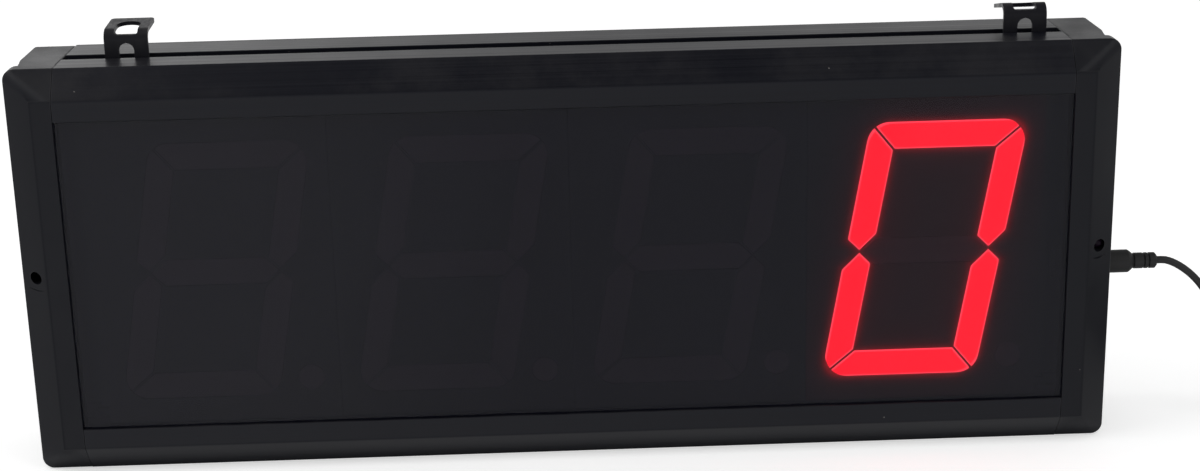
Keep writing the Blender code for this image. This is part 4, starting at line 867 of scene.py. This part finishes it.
def turned(name, profile, origin, axis, sides=64):
    """A solid of revolution. The profile is (distance along the axis, radius), end to end."""
    built = bmesh.new()
    axis = Vector(axis).normalized()
    side = axis.orthogonal().normalized()
    other = axis.cross(side)
    turns = [math.tau * i / sides for i in range(sides)]
    spokes = [math.cos(turn) * side + math.sin(turn) * other for turn in turns]
    rings = []
    for along, radius in profile:
        centre = Vector(origin) + axis * along
        rings.append([built.verts.new(centre + spoke * max(radius, 1e-9)) for spoke in spokes])
    for first, second in zip(rings, rings[1:]):
        for i in range(sides):
            j = (i + 1) % sides
            built.faces.new((first[i], first[j], second[j], second[i]))
    for ring, (_, radius) in ((rings[0], profile[0]), (rings[-1], profile[-1])):
        if radius > 1e-6:
            built.faces.new(ring)
    return mesh_object(name, built)


def block(name, low, high):
    """A box between two (x, depth, z) corners."""
    low_x, high_x = sorted((low[0], high[0]))
    outline = [(low_x, low[1]), (high_x, low[1]), (high_x, high[1]), (low_x, high[1])]
    return prism(name, outline, low[2], high[2], "Z")


def cap_line(out, depth, side):
    """One line round a cap's three outer sides, from the top joint to the bottom joint."""
    half_width = JOINT_X + out * CAP_SPREAD
    half_height = WINDOW_HEIGHT / 2 + out
    radius = max(0.0, out - (RAIL_HEIGHT - CAP_CORNER))
    line = [(JOINT_X, half_height)]
    line += arc((half_width - radius, half_height - radius), radius, 90, 0, 12)
    line += arc((half_width - radius, radius - half_height), radius, 0, -90, 12)
    line.append((JOINT_X, -half_height))
    return [Vector((side * x, depth - CASE_DEPTH / 2, MIDDLE_Z + z)) for x, z in line]


def cap_flange(name, side):
    """The front of a cap: the rails' front shape carried round the window's end."""
    corners = [(LIP_EASE * 4, 0, 0), *bezel_corners(0.0013)]
    corners += [(FLANGE_BACK, RAIL_HEIGHT, 0.0003), (FLANGE_BACK, 0, 0)]
    stations = round_corners(corners, 12)[1:-1]
    built = bmesh.new()
    rings = [[built.verts.new(point) for point in cap_line(out, depth, side)] for depth, out in stations]
    for first, second in zip(rings, rings[1:]):
        for i in range(len(first) - 1):
            built.faces.new((first[i], first[i + 1], second[i + 1], second[i]))
    built.faces.new(rings[-1])
    built.faces.new([ring[0] for ring in rings] + [ring[-1] for ring in reversed(rings)])
    return mesh_object(name, built)


def cap_body(name, side):
    """The shell behind the flange, with its finger groove and rounded back edges."""
    groove_x = CAP_SIDE_X - FINGER_GROOVE
    inner_x = JOINT_X + CAP_INSET
    outline = [(inner_x, FLANGE_BACK - CAP_WALL), (groove_x, FLANGE_BACK - CAP_WALL), (groove_x, FLANGE_BACK)]
    outline.append((CAP_SIDE_X, FLANGE_BACK + FINGER_GROOVE_LENGTH))
    outline += arc((CAP_SIDE_X - CAP_BACK_ROUND, CASE_DEPTH - CAP_BACK_ROUND), CAP_BACK_ROUND, 0, 90, 8)
    outline.append((inner_x, CASE_DEPTH))
    outline = [(side * x, depth) for x, depth in outline]
    body = prism(name, outline, CAP_INSET, CASE_HEIGHT - CAP_INSET, "Z")
    built = bmesh.new()
    built.from_mesh(body.data)
    behind = FLANGE_BACK + CAP_INSET - CASE_DEPTH / 2
    rims = []
    for edge in built.edges:
        middle = (edge.verts[0].co + edge.verts[1].co) / 2
        level = abs(edge.verts[0].co.z - edge.verts[1].co.z) < CAP_INSET
        if level and middle.y > behind and abs(middle.x) > inner_x:
            rims.append(edge)
    bmesh.ops.bevel(built, geom=rims, offset=CAP_RIM_ROUND, segments=4, profile=0.5, affect="EDGES")
    built.to_mesh(body.data)
    built.free()
    return body


def dimple(name, side):
    """A tilted disc that leaves a shallow crescent below the round hole in the cap's slope."""
    slope = math.atan2(BEZEL_SETBACK, (RAIL_HEIGHT - BEZEL_FLAT) * CAP_SPREAD)
    depth = BEZEL_SETBACK - SENSOR_INSET * math.tan(slope)
    hole = Vector((side * (CAP_OUTER_X - SENSOR_INSET), depth - CASE_DEPTH / 2, MIDDLE_Z))
    outward = Vector((side * math.sin(slope), -math.cos(slope), 0))
    upward = Vector((0, 0, 1))
    tilt = math.atan2(DIMPLE_DEPTH, DIMPLE_HEIGHT)
    lowest = hole - upward * DIMPLE_DROP - outward * DIMPLE_DEPTH
    centre = lowest + (upward * math.cos(tilt) + outward * math.sin(tilt)) * DIMPLE_RADIUS
    axis = outward * math.cos(tilt) - upward * math.sin(tilt)
    return turned(name, [(0, DIMPLE_RADIUS), (CAP_WALL, DIMPLE_RADIUS)], centre, axis, 128)


def screw_spots():
    """Where a cap's four screws are, as (depth, height), in line with the rails' ports."""
    heights = (RAIL_HEIGHT - PORT_OUT, CASE_HEIGHT - RAIL_HEIGHT + PORT_OUT)
    return [(depth, height) for height in heights for depth in PORT_DEPTHS]


def mould_cap(name, side):
    """Flange and body in one, hollowed, grooved for both sheets, and bored for its screws and holes."""
    inner_x = side * (JOINT_X - CAP_WALL)
    sheet_x = side * (WINDOW_WIDTH / 2 + SHEET_REACH)
    sensor_x = side * (CAP_OUTER_X - SENSOR_INSET)
    steps = [("UNION", cap_body("body", side))]
    far_corner = (side * POCKET_SIDE_X, CASE_DEPTH - CAP_WALL, CASE_HEIGHT - CAP_WALL)
    steps.append(("DIFFERENCE", block("pocket", (inner_x, POCKET_FRONT, CAP_WALL), far_corner)))
    for tag, front, back in SHEET_GROOVES:
        low, high = (inner_x, front, MIDDLE_Z - HALF_SHEET), (sheet_x, back, MIDDLE_Z + HALF_SHEET)
        steps.append(("DIFFERENCE", block(tag, low, high)))
    for number, (depth, height) in enumerate(screw_spots()):
        start = (side * JOINT_X, depth - CASE_DEPTH / 2, height)
        reach = POCKET_SIDE_X + CAP_WALL / 2 - JOINT_X
        profile = [(0, BOSS_RADIUS), (reach, BOSS_RADIUS)]
        steps.append(("UNION", turned(f"boss_{number}", profile, start, (side, 0, 0), 32)))
    for number, (depth, height) in enumerate(screw_spots()):
        start = (inner_x, depth - CASE_DEPTH / 2, height)
        length = CAP_SIDE_X - JOINT_X + CAP_WALL
        seat = length - HEAD_SEAT
        profile = [(0, PORT_RADIUS), (seat, PORT_RADIUS), (seat, HEAD_SEAT_RADIUS)]
        profile += [(length - MOUTH_EASE, HEAD_SEAT_RADIUS), (length, HEAD_SEAT_RADIUS + MOUTH_EASE)]
        profile.append((length + 2 * MOUTH_EASE, HEAD_SEAT_RADIUS + 3 * MOUTH_EASE))
        steps.append(("DIFFERENCE", turned(f"hole_{number}", profile, start, (side, 0, 0), 48)))
    profile = [(-CAP_WALL, SENSOR_RADIUS), (SENSOR_DEPTH, SENSOR_RADIUS)]
    steps.append(("DIFFERENCE", turned("bore", profile, (sensor_x, -CASE_DEPTH / 2, MIDDLE_Z), (0, 1, 0))))
    low = (side * (POCKET_SIDE_X - CAP_INSET), LEG_SLOT_FRONT, MIDDLE_Z - SENSOR_RADIUS)
    high = (sensor_x, SENSOR_DEPTH, MIDDLE_Z + SENSOR_RADIUS)
    steps.append(("DIFFERENCE", block("leg_slot", low, high)))
    steps.append(("DIFFERENCE", dimple("dimple", side)))
    if side > 0:
        profile = [(POCKET_SIDE_X - CAP_WALL, SOCKET_RADIUS), (CAP_SIDE_X - MOUTH_EASE, SOCKET_RADIUS)]
        profile.append((CAP_SIDE_X + 2 * MOUTH_EASE, SOCKET_RADIUS + 3 * MOUTH_EASE))
        steps.append(("DIFFERENCE", turned("socket_hole", profile, (0, *SOCKET_AXIS), (1, 0, 0))))
    return shade_round(machine(cap_flange(name, side), *steps), 30)


def make_moulded_black():
    made, tree, shader = new_finish("black_moulded_plastic", (0.006, 0.0064, 0.0092), 0.4, 0.17)
    grain, base = grained(tree, 0.00028, (0.0042, 0.0046, 0.0076), (0.0066, 0.0072, 0.0108))
    base, _, dust = age(tree, base, (0.06, 0.06, 0.063), (0.0006, 0.35), (0.08, 0.7, 0.016))
    rough = ramp(tree, grain["Tone"], 0.3, 0.7, 0.34, 0.46)
    rough = sums(tree, "MULTIPLY_ADD", dust, 0.4, rough, clamp=True)
    feed(tree, shader, {"Base Color": base, "Roughness": rough}, grain["Height"], 0.3, 0.00007)
    return made


moulded_black = make_moulded_black()
for cap_name, side in (("left_end_cap", -1), ("right_end_cap", 1)):
    cap = mould_cap(cap_name + "_moulding", side)
    dress(cap, moulded_black, "moulded_plastic", "case", cap_name)

# Cap screws
# Eight black pan-head screws go through the caps' sides into the rails' screw ports. Their heads are
# sunk in round seats, and a driver has rubbed the crosses bright at the edges.
SCREW_RADIUS = 0.00145
SCREW_CORE_RADIUS = 0.00118
SCREW_POINT = 0.0014
SCREW_POINT_RADIUS = 0.0007
SCREW_PITCH = 0.0005
SCREW_SHANK = 0.004
SCREW_BITE = 0.008
HEAD_GAP = 0.0003
HEAD_RADIUS = 0.003
HEAD_RIM = 0.0008
HEAD_DOME = 0.0013
HALF_CROSS = (0.0017, 0.0004)


def make_screw_steel():
    made, tree, shader = new_finish("black_screw_steel", (0.03, 0.03, 0.033), 0.32, 0.5, 0.55)
    grain, base = grained(tree, 0.0003, (0.022, 0.022, 0.025), (0.045, 0.045, 0.048))
    wear = use_effect(tree, edge_wear, {"Width": 0.00025, "Amount": 1.0})["Mask"]
    base = blend_colours(tree, wear, base, (0.33, 0.32, 0.31))
    feed(tree, shader, {"Base Color": base, "Roughness": ramp(tree, grain["Tone"], 0.3, 0.7, 0.26, 0.42)})
    return made


def turn_screw(name, side, depth, height):
    """Point, thread, neck and domed head in one profile, with the driver's cross cut into the head."""
    seat = CAP_SIDE_X - HEAD_SEAT + HEAD_GAP
    length = seat - (WINDOW_WIDTH / 2 - SCREW_BITE)
    profile = [(-length, 0.0), (-length, SCREW_POINT_RADIUS), (-length + SCREW_POINT, SCREW_RADIUS)]
    for crest in range(int((length - SCREW_SHANK) / SCREW_PITCH)):
        start = -length + SCREW_POINT + crest * SCREW_PITCH
        profile += [(start + 0.0001, SCREW_RADIUS), (start + 0.0003, SCREW_CORE_RADIUS)]
    profile += [(-0.0002, SCREW_RADIUS), (0, 0.0017), (0, HEAD_RADIUS - 0.0001)]
    profile += [(0.0001, HEAD_RADIUS), (HEAD_RIM, HEAD_RADIUS)]
    for turn in (math.radians(angle) for angle in (12, 26, 42, 60, 78)):
        dome_radius = HEAD_RADIUS - HEAD_RADIUS * (1 - math.cos(turn)) ** 1.15
        profile.append((HEAD_RIM + HEAD_DOME * math.sin(turn), dome_radius))
    profile.append((HEAD_RIM + HEAD_DOME, 0.0))
    origin = (side * seat, depth - CASE_DEPTH / 2, height)
    screw = turned(name, profile, origin, (side, 0, 0), 40)
    steps = []
    for number, (half_y, half_z) in enumerate((HALF_CROSS, HALF_CROSS[::-1])):
        low = (side * (seat + 0.001), depth - half_y, height - half_z)
        high = (side * (seat + 0.004), depth + half_y, height + half_z)
        steps.append(("DIFFERENCE", block(f"cross_{number}", low, high)))
    return shade_round(machine(screw, *steps), 30)


screw_steel = make_screw_steel()
for side, side_name in ((-1, "left"), (1, "right")):
    for number, (depth, height) in enumerate(screw_spots(), start=1):
        node = f"{side_name}_cap_screw_{number}"
        dress(turn_screw(node + "_turned", side, depth, height), screw_steel, "screw_steel", "case", node)

# Power plug
# A barrel plug in a soft black moulding: a round grip, a short taper and a slim strain relief cut by
# grooves, so that it can bend. The lead is moulded into it, and it is pushed into the side socket.
PLUG_FACE_X = 0.2072
BARREL_LENGTH = 0.0095
BARREL_RADIUS = 0.00275
BARREL_BORE_RADIUS = 0.0013


def mould_plug():
    """The barrel and the moulding as one turned profile of (distance along X, radius, rounding)."""
    grip = [
        (0, 0, 0),
        (0, 0.0046, 0.0005),
        (0.0153, 0.0046, 0.0006),
        (0.0161, 0.0041, 0.0004),
        (0.0171, 0.0032, 0.0004),
        (0.0176, 0.0027, 0.0001),
        (0.0179, 0.0032, 0.0003),
        (0.0214, 0.0032, 0.0003),
        (0.0216, 0.0027, 0.0001),
        (0.0218, 0.0027, 0.0001),
        (0.0221, 0.0032, 0.0003),
        (0.0233, 0.0032, 0.0003),
        (0.0235, 0.0027, 0.0001),
        (0.0237, 0.0027, 0.0001),
        (0.0240, 0.0032, 0.0003),
        (0.0262, 0.0032, 0.0004),
        (0.0270, 0.0023, 0.0003),
        (0.0270, 0, 0),
    ]
    barrel = [(-0.0005, 0), (-0.0005, BARREL_BORE_RADIUS), (-BARREL_LENGTH, BARREL_BORE_RADIUS)]
    barrel += [(-BARREL_LENGTH, 0.0025), (0.0003 - BARREL_LENGTH, BARREL_RADIUS), (0, BARREL_RADIUS)]
    outside = [spot for spot in round_corners(grip, 5) if spot[1] > BARREL_RADIUS or spot[0] > 0.001]
    plug = turned("dc_plug_moulding", barrel + outside, (PLUG_FACE_X, *SOCKET_AXIS), (1, 0, 0), 72)
    return shade_round(plug, 50)


plug = dress(mould_plug(), soft_plastic, "soft_plastic", "case", "dc_plug")

# Lead
# A metre and a half of thin round lead in soft black vinyl. It leaves the plug's relief, falls under its
# own weight to the table, and the rest is wound into a small coil beside the counter.
LEAD_RADIUS = 0.0015
LEAD_STEP = 0.0016
LEAD_TAIL = 0.012
LEAD_EXIT = (0.2345, *SOCKET_AXIS)
LEAD_ROUTE = (
    (0.2380, 0.0050, 0.06440),
    (0.2422, 0.0049, 0.06280),
    (0.2468, 0.0045, 0.05980),
    (0.2512, 0.0039, 0.05560),
    (0.2556, 0.0030, 0.04960),
    (0.2594, 0.0018, 0.04240),
    (0.2626, 0.0000, 0.03440),
    (0.2654, -0.0024, 0.02600),
    (0.2686, -0.0056, 0.01800),
    (0.2728, -0.0096, 0.01100),
    (0.2782, -0.0138, 0.00560),
    (0.2844, -0.0172, 0.00270),
)
COIL_CENTRE = (0.302, 0.001)
COIL_OUTER = 0.0225
COIL_STEP = 0.0036
COIL_TURNS = 3.25
COIL_LAYERS = 4
COIL_START = math.radians(238)
COIL_STEPS_A_TURN = 40
COIL_LOWEST = 0.0017
COIL_RUN_IN = 0.006


def coil_line():
    """In and out again at a steady rate, climbing one layer where the winding turns back."""
    layer_turn = math.tau * COIL_TURNS
    total = layer_turn * COIL_LAYERS
    closing = (math.tau * 0.75 - (COIL_START + total)) % math.tau
    steps = round((total + closing) / math.tau * COIL_STEPS_A_TURN)
    points = []
    for i in range(steps + 1):
        run = (total + closing) * i / steps
        layer = run / layer_turn
        inward = layer % 2 if layer % 2 <= 1 else 2 - layer % 2
        radius = COIL_OUTER - COIL_STEP * COIL_TURNS * inward
        if layer >= COIL_LAYERS:
            radius = COIL_OUTER + COIL_STEP * (run - total) / math.tau
        height = COIL_LOWEST
        for reversal in range(1, COIL_LAYERS):
            climb = min(1.0, max(0.0, (run - reversal * layer_turn) / math.pi + 0.5))
            height += COIL_STEP * climb * climb * (3 - 2 * climb)
        turn = COIL_START + run
        x = COIL_CENTRE[0] + radius * math.cos(turn)
        y = COIL_CENTRE[1] + radius * math.sin(turn)
        points.append(Vector((x, y, height)))
    return points


def smooth_line(route, step):
    """Even steps along a smooth curve through the route's points."""
    padded = [2 * route[0] - route[1], *route, 2 * route[-1] - route[-2]]
    points = []
    for before, here, there, after in zip(padded, padded[1:], padded[2:], padded[3:]):
        pieces = max(1, round((there - here).length / step))
        for k in range(pieces):
            t = k / pieces
            square = 2 * before - 5 * here + 4 * there - after
            cube = 3 * here - before - 3 * there + after
            points.append(0.5 * (2 * here + (there - before) * t + square * t**2 + cube * t**3))
    return points + [route[-1]]


def lay_lead():
    """The whole lead as one tube, its length, and the place where it meets the adapter's relief."""
    coil = coil_line()
    heading = Vector((-math.sin(COIL_START), math.cos(COIL_START), 0))
    meet = coil[0] - heading * COIL_RUN_IN
    route = [Vector(LEAD_EXIT), *(Vector(point) for point in LEAD_ROUTE), meet, coil[0]]
    points = smooth_line(route, LEAD_STEP)[:-1] + coil
    points += [points[-1] + Vector((LEAD_TAIL * step / 6, 0, 0)) for step in range(1, 7)]
    line = bpy.data.curves.new("power_lead", "CURVE")
    line.dimensions = "3D"
    line.bevel_depth = LEAD_RADIUS
    line.bevel_resolution = 5
    line.use_fill_caps = True
    spline = line.splines.new("POLY")
    spline.points.add(len(points) - 1)
    for point, at in zip(spline.points, points):
        point.co = (*at, 1)
    spline.use_smooth = True
    lead = bpy.data.objects.new("power_lead", line)
    bpy.context.scene.collection.objects.link(lead)
    return lead, sum((b - a).length for a, b in zip(points, points[1:])), points[-1]


lead_vinyl = make_soft_plastic("soft_black_vinyl", 0.016, 0.42)
lead, lead_length, lead_end = lay_lead()
dress(lead, lead_vinyl, "soft_plastic", "case", "cord_lead", "cord_coil")

# Wall adapter
# The lead ends in a plain wall adapter: two moulded black shells welded along a seam, a ribbed relief
# for the lead, and two flat nickel-plated blades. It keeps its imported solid.
ADAPTER_BACK = lead_end.x + 0.0853
ADAPTER_LENGTH = 0.0699
ADAPTER_MIDDLE = 0.0141


def make_adapter_shells():
    """Black plastic with the welded seam round it, and bare nickel on the blades behind it."""
    made, tree, shader = new_finish("black_adapter_shells", (0.018, 0.018, 0.019), 0.45, 0.3)
    at = position(tree)
    spot = split(tree, at)
    blade = sums(tree, "GREATER_THAN", spot[0], ADAPTER_BACK + 0.0001)
    off_seam = sums(tree, "ABSOLUTE", sums(tree, "SUBTRACT", spot[2], ADAPTER_MIDDLE))
    on_case = sums(tree, "GREATER_THAN", spot[0], ADAPTER_BACK - ADAPTER_LENGTH)
    seam = sums(tree, "MULTIPLY", ramp(tree, off_seam, 0.00038, 0.00018), on_case)
    grain, shell = grained(tree, 0.0003, (0.0135, 0.0135, 0.0145), (0.0235, 0.0235, 0.0248))
    shell = age(tree, shell, (0.07, 0.07, 0.073), (0.0005, 0.3), (0.14, 0.6, 0.014))[0]
    shell = blend_colours(tree, seam, shell, (0.004, 0.004, 0.004))
    brushed = noise(tree, stretched(tree, at, (40, 300, 2200)), 1.0, 4.0)
    plate = blend_colours(tree, brushed, (0.55, 0.53, 0.49), (0.7, 0.68, 0.64))
    base = blend_colours(tree, blade, shell, plate)
    rough = sums(tree, "MULTIPLY_ADD", blade, -0.2, ramp(tree, grain["Tone"], 0.3, 0.7, 0.38, 0.52))
    height = sums(tree, "MULTIPLY_ADD", seam, -2.0, sums(tree, "MULTIPLY", grain["Height"], 0.2))
    feed(tree, shader, {"Base Color": base, "Roughness": rough, "Metallic": blade}, height, 0.5, 0.0001)
    return made


adapter = finish_node("power_adapter", make_adapter_shells())
soften_edges(adapter, 0.0004, 25)

# Table
# A plain white sheet that reaches past every edge of the picture. The camera sees it white, with the
# counter's soft shadow. The counter's foot mirrors it close by, and further off the bare room instead.


def make_white_table():
    made, tree, shader = new_finish("white_paper", (0.84, 0.84, 0.84), 0.9, 0.1)
    rays = place(tree, "LightPath").outputs
    far = sums(tree, "MULTIPLY", ramp(tree, rays["Ray Length"], 0.01, 0.02), rays["Is Glossy Ray"])
    # Painted light and shade: mirrored close by, the table glows, and the glow fades to nothing as the mirrored
    # ray shortens into the contact, painting shade under the counter's foot.
    near_glow_with_painted_shade = sums(tree, "MULTIPLY", ramp(tree, rays["Ray Length"], 0.0, 0.009, 0.0, 0.6), rays["Is Glossy Ray"])
    seen = sums(tree, "MAXIMUM", rays["Is Camera Ray"], rays["Is Transmission Ray"])
    white = blend_colours(tree, sums(tree, "MAXIMUM", seen, near_glow_with_painted_shade), (0, 0, 0), (1, 1, 1))
    fibre = noise(tree, position(tree), 220.0, 3.0)
    base = blend_colours(tree, fibre, (0.83, 0.83, 0.83), (0.85, 0.85, 0.85))
    there = sums(tree, "SUBTRACT", 1.0, far)
    feed(tree, shader, {"Base Color": base, "Alpha": there, "Emission Color": white})
    shader.inputs["Emission Strength"].default_value = 0.5
    return made


bpy.ops.mesh.primitive_grid_add(x_subdivisions=2, y_subdivisions=2, size=16, location=(0, 2, -0.00005))
table = bpy.context.object
table.name = "table"
table.data.materials.append(make_white_table())

# Light
# Plain soft studio light: a white room all round, one large soft box above on the left and a weaker one
# on the right. Mirrored, the room is dim overhead, at both sides and below, and brightest ahead.


def hang_soft_box(name, place_at, aim, size, power):
    lamp = bpy.data.lights.new(name, "AREA")
    lamp.shape = "RECTANGLE"
    lamp.size, lamp.size_y = size
    lamp.energy = power
    box = bpy.data.objects.new(name, lamp)
    box.location = place_at
    box.rotation_euler = (Vector(aim) - Vector(place_at)).to_track_quat("-Z", "Y").to_euler()
    bpy.context.scene.collection.objects.link(box)


hang_soft_box("left_soft_box", (-1.5, -0.3, 1.5), (0, 0, 0.08), (1.4, 1.0), 12.0)
hang_soft_box("right_soft_box", (1.3, -0.9, 1.3), (0, 0, 0.08), (1.0, 1.0), 5.0)

# Across the room: where a change begins, where it is complete, and how much brighter it leaves the room.
CHANGES_ACROSS = ((-0.3, -0.62, -0.54), (0.3, 0.62, -0.4), (0.08, 0.28, 0.12))

room = bpy.data.worlds.new("white_room")
room.use_nodes = True
bpy.context.scene.world = room
sky = room.node_tree
rays = place(sky, "LightPath").outputs
seen = sums(sky, "MAXIMUM", rays["Is Camera Ray"], rays["Is Transmission Ray"])
heading = split(sky, place(sky, "TexCoord").outputs["Generated"])
aside = sums(sky, "ABSOLUTE", heading[0])
spread = ramp(sky, aside, 0.02, 0.24)
overhead = sums(sky, "MULTIPLY_ADD", spread, 0.36, ramp(sky, heading[0], -0.02, -0.24, -0.98, -0.66))
climb = ramp(sky, heading[2], -0.05, 0.6)
level = sums(sky, "SUBTRACT", 1.0, climb)
mirrored = sums(sky, "MULTIPLY_ADD", climb, overhead, 1.0)
not_overhead = ramp(sky, heading[2], 0.8, 0.35)
ahead = sums(sky, "MULTIPLY", ramp(sky, heading[0], 0.02, -0.16, -0.05, 0.32), not_overhead)
mirrored = sums(sky, "MULTIPLY", mirrored, sums(sky, "ADD", ahead, 1.0))
mirrored = sums(sky, "MULTIPLY", mirrored, ramp(sky, heading[2], -0.45, -0.95, 1.0, 0.45))
for begins, complete, brighter in CHANGES_ACROSS:
    change = sums(sky, "MULTIPLY", ramp(sky, heading[0], begins, complete, 0.0, brighter), level)
    mirrored = sums(sky, "MULTIPLY", mirrored, sums(sky, "ADD", change, 1.0))
strength = sums(sky, "MULTIPLY_ADD", rays["Is Glossy Ray"], sums(sky, "SUBTRACT", mirrored, 0.5), 0.5)
sky.links.new(sums(sky, "MAXIMUM", strength, seen), sky.nodes["Background"].inputs["Strength"])
sky.nodes["Background"].inputs["Color"].default_value = (1, 1, 1, 1)

# Camera
# It stands three quarters of a metre in front, a little left of the middle and above the counter, and
# looks down on it by seventeen degrees with a longish lens, which keeps the rails almost parallel.
lens = bpy.data.cameras.new("camera")
lens.sensor_width = 36.0
lens.lens = 61.778
lens.clip_start = 0.01
lens.clip_end = 50.0
camera = bpy.data.objects.new("camera", lens)
camera.location = (-0.00929, -0.77273, 0.31923)
camera.rotation_euler = (math.radians(73.02488), math.radians(1.24232), math.radians(-1.94508))
bpy.context.scene.collection.objects.link(camera)
bpy.context.scene.camera = camera
bpy.context.scene.view_settings.view_transform = "Standard"

bpy.context.view_layer.update()
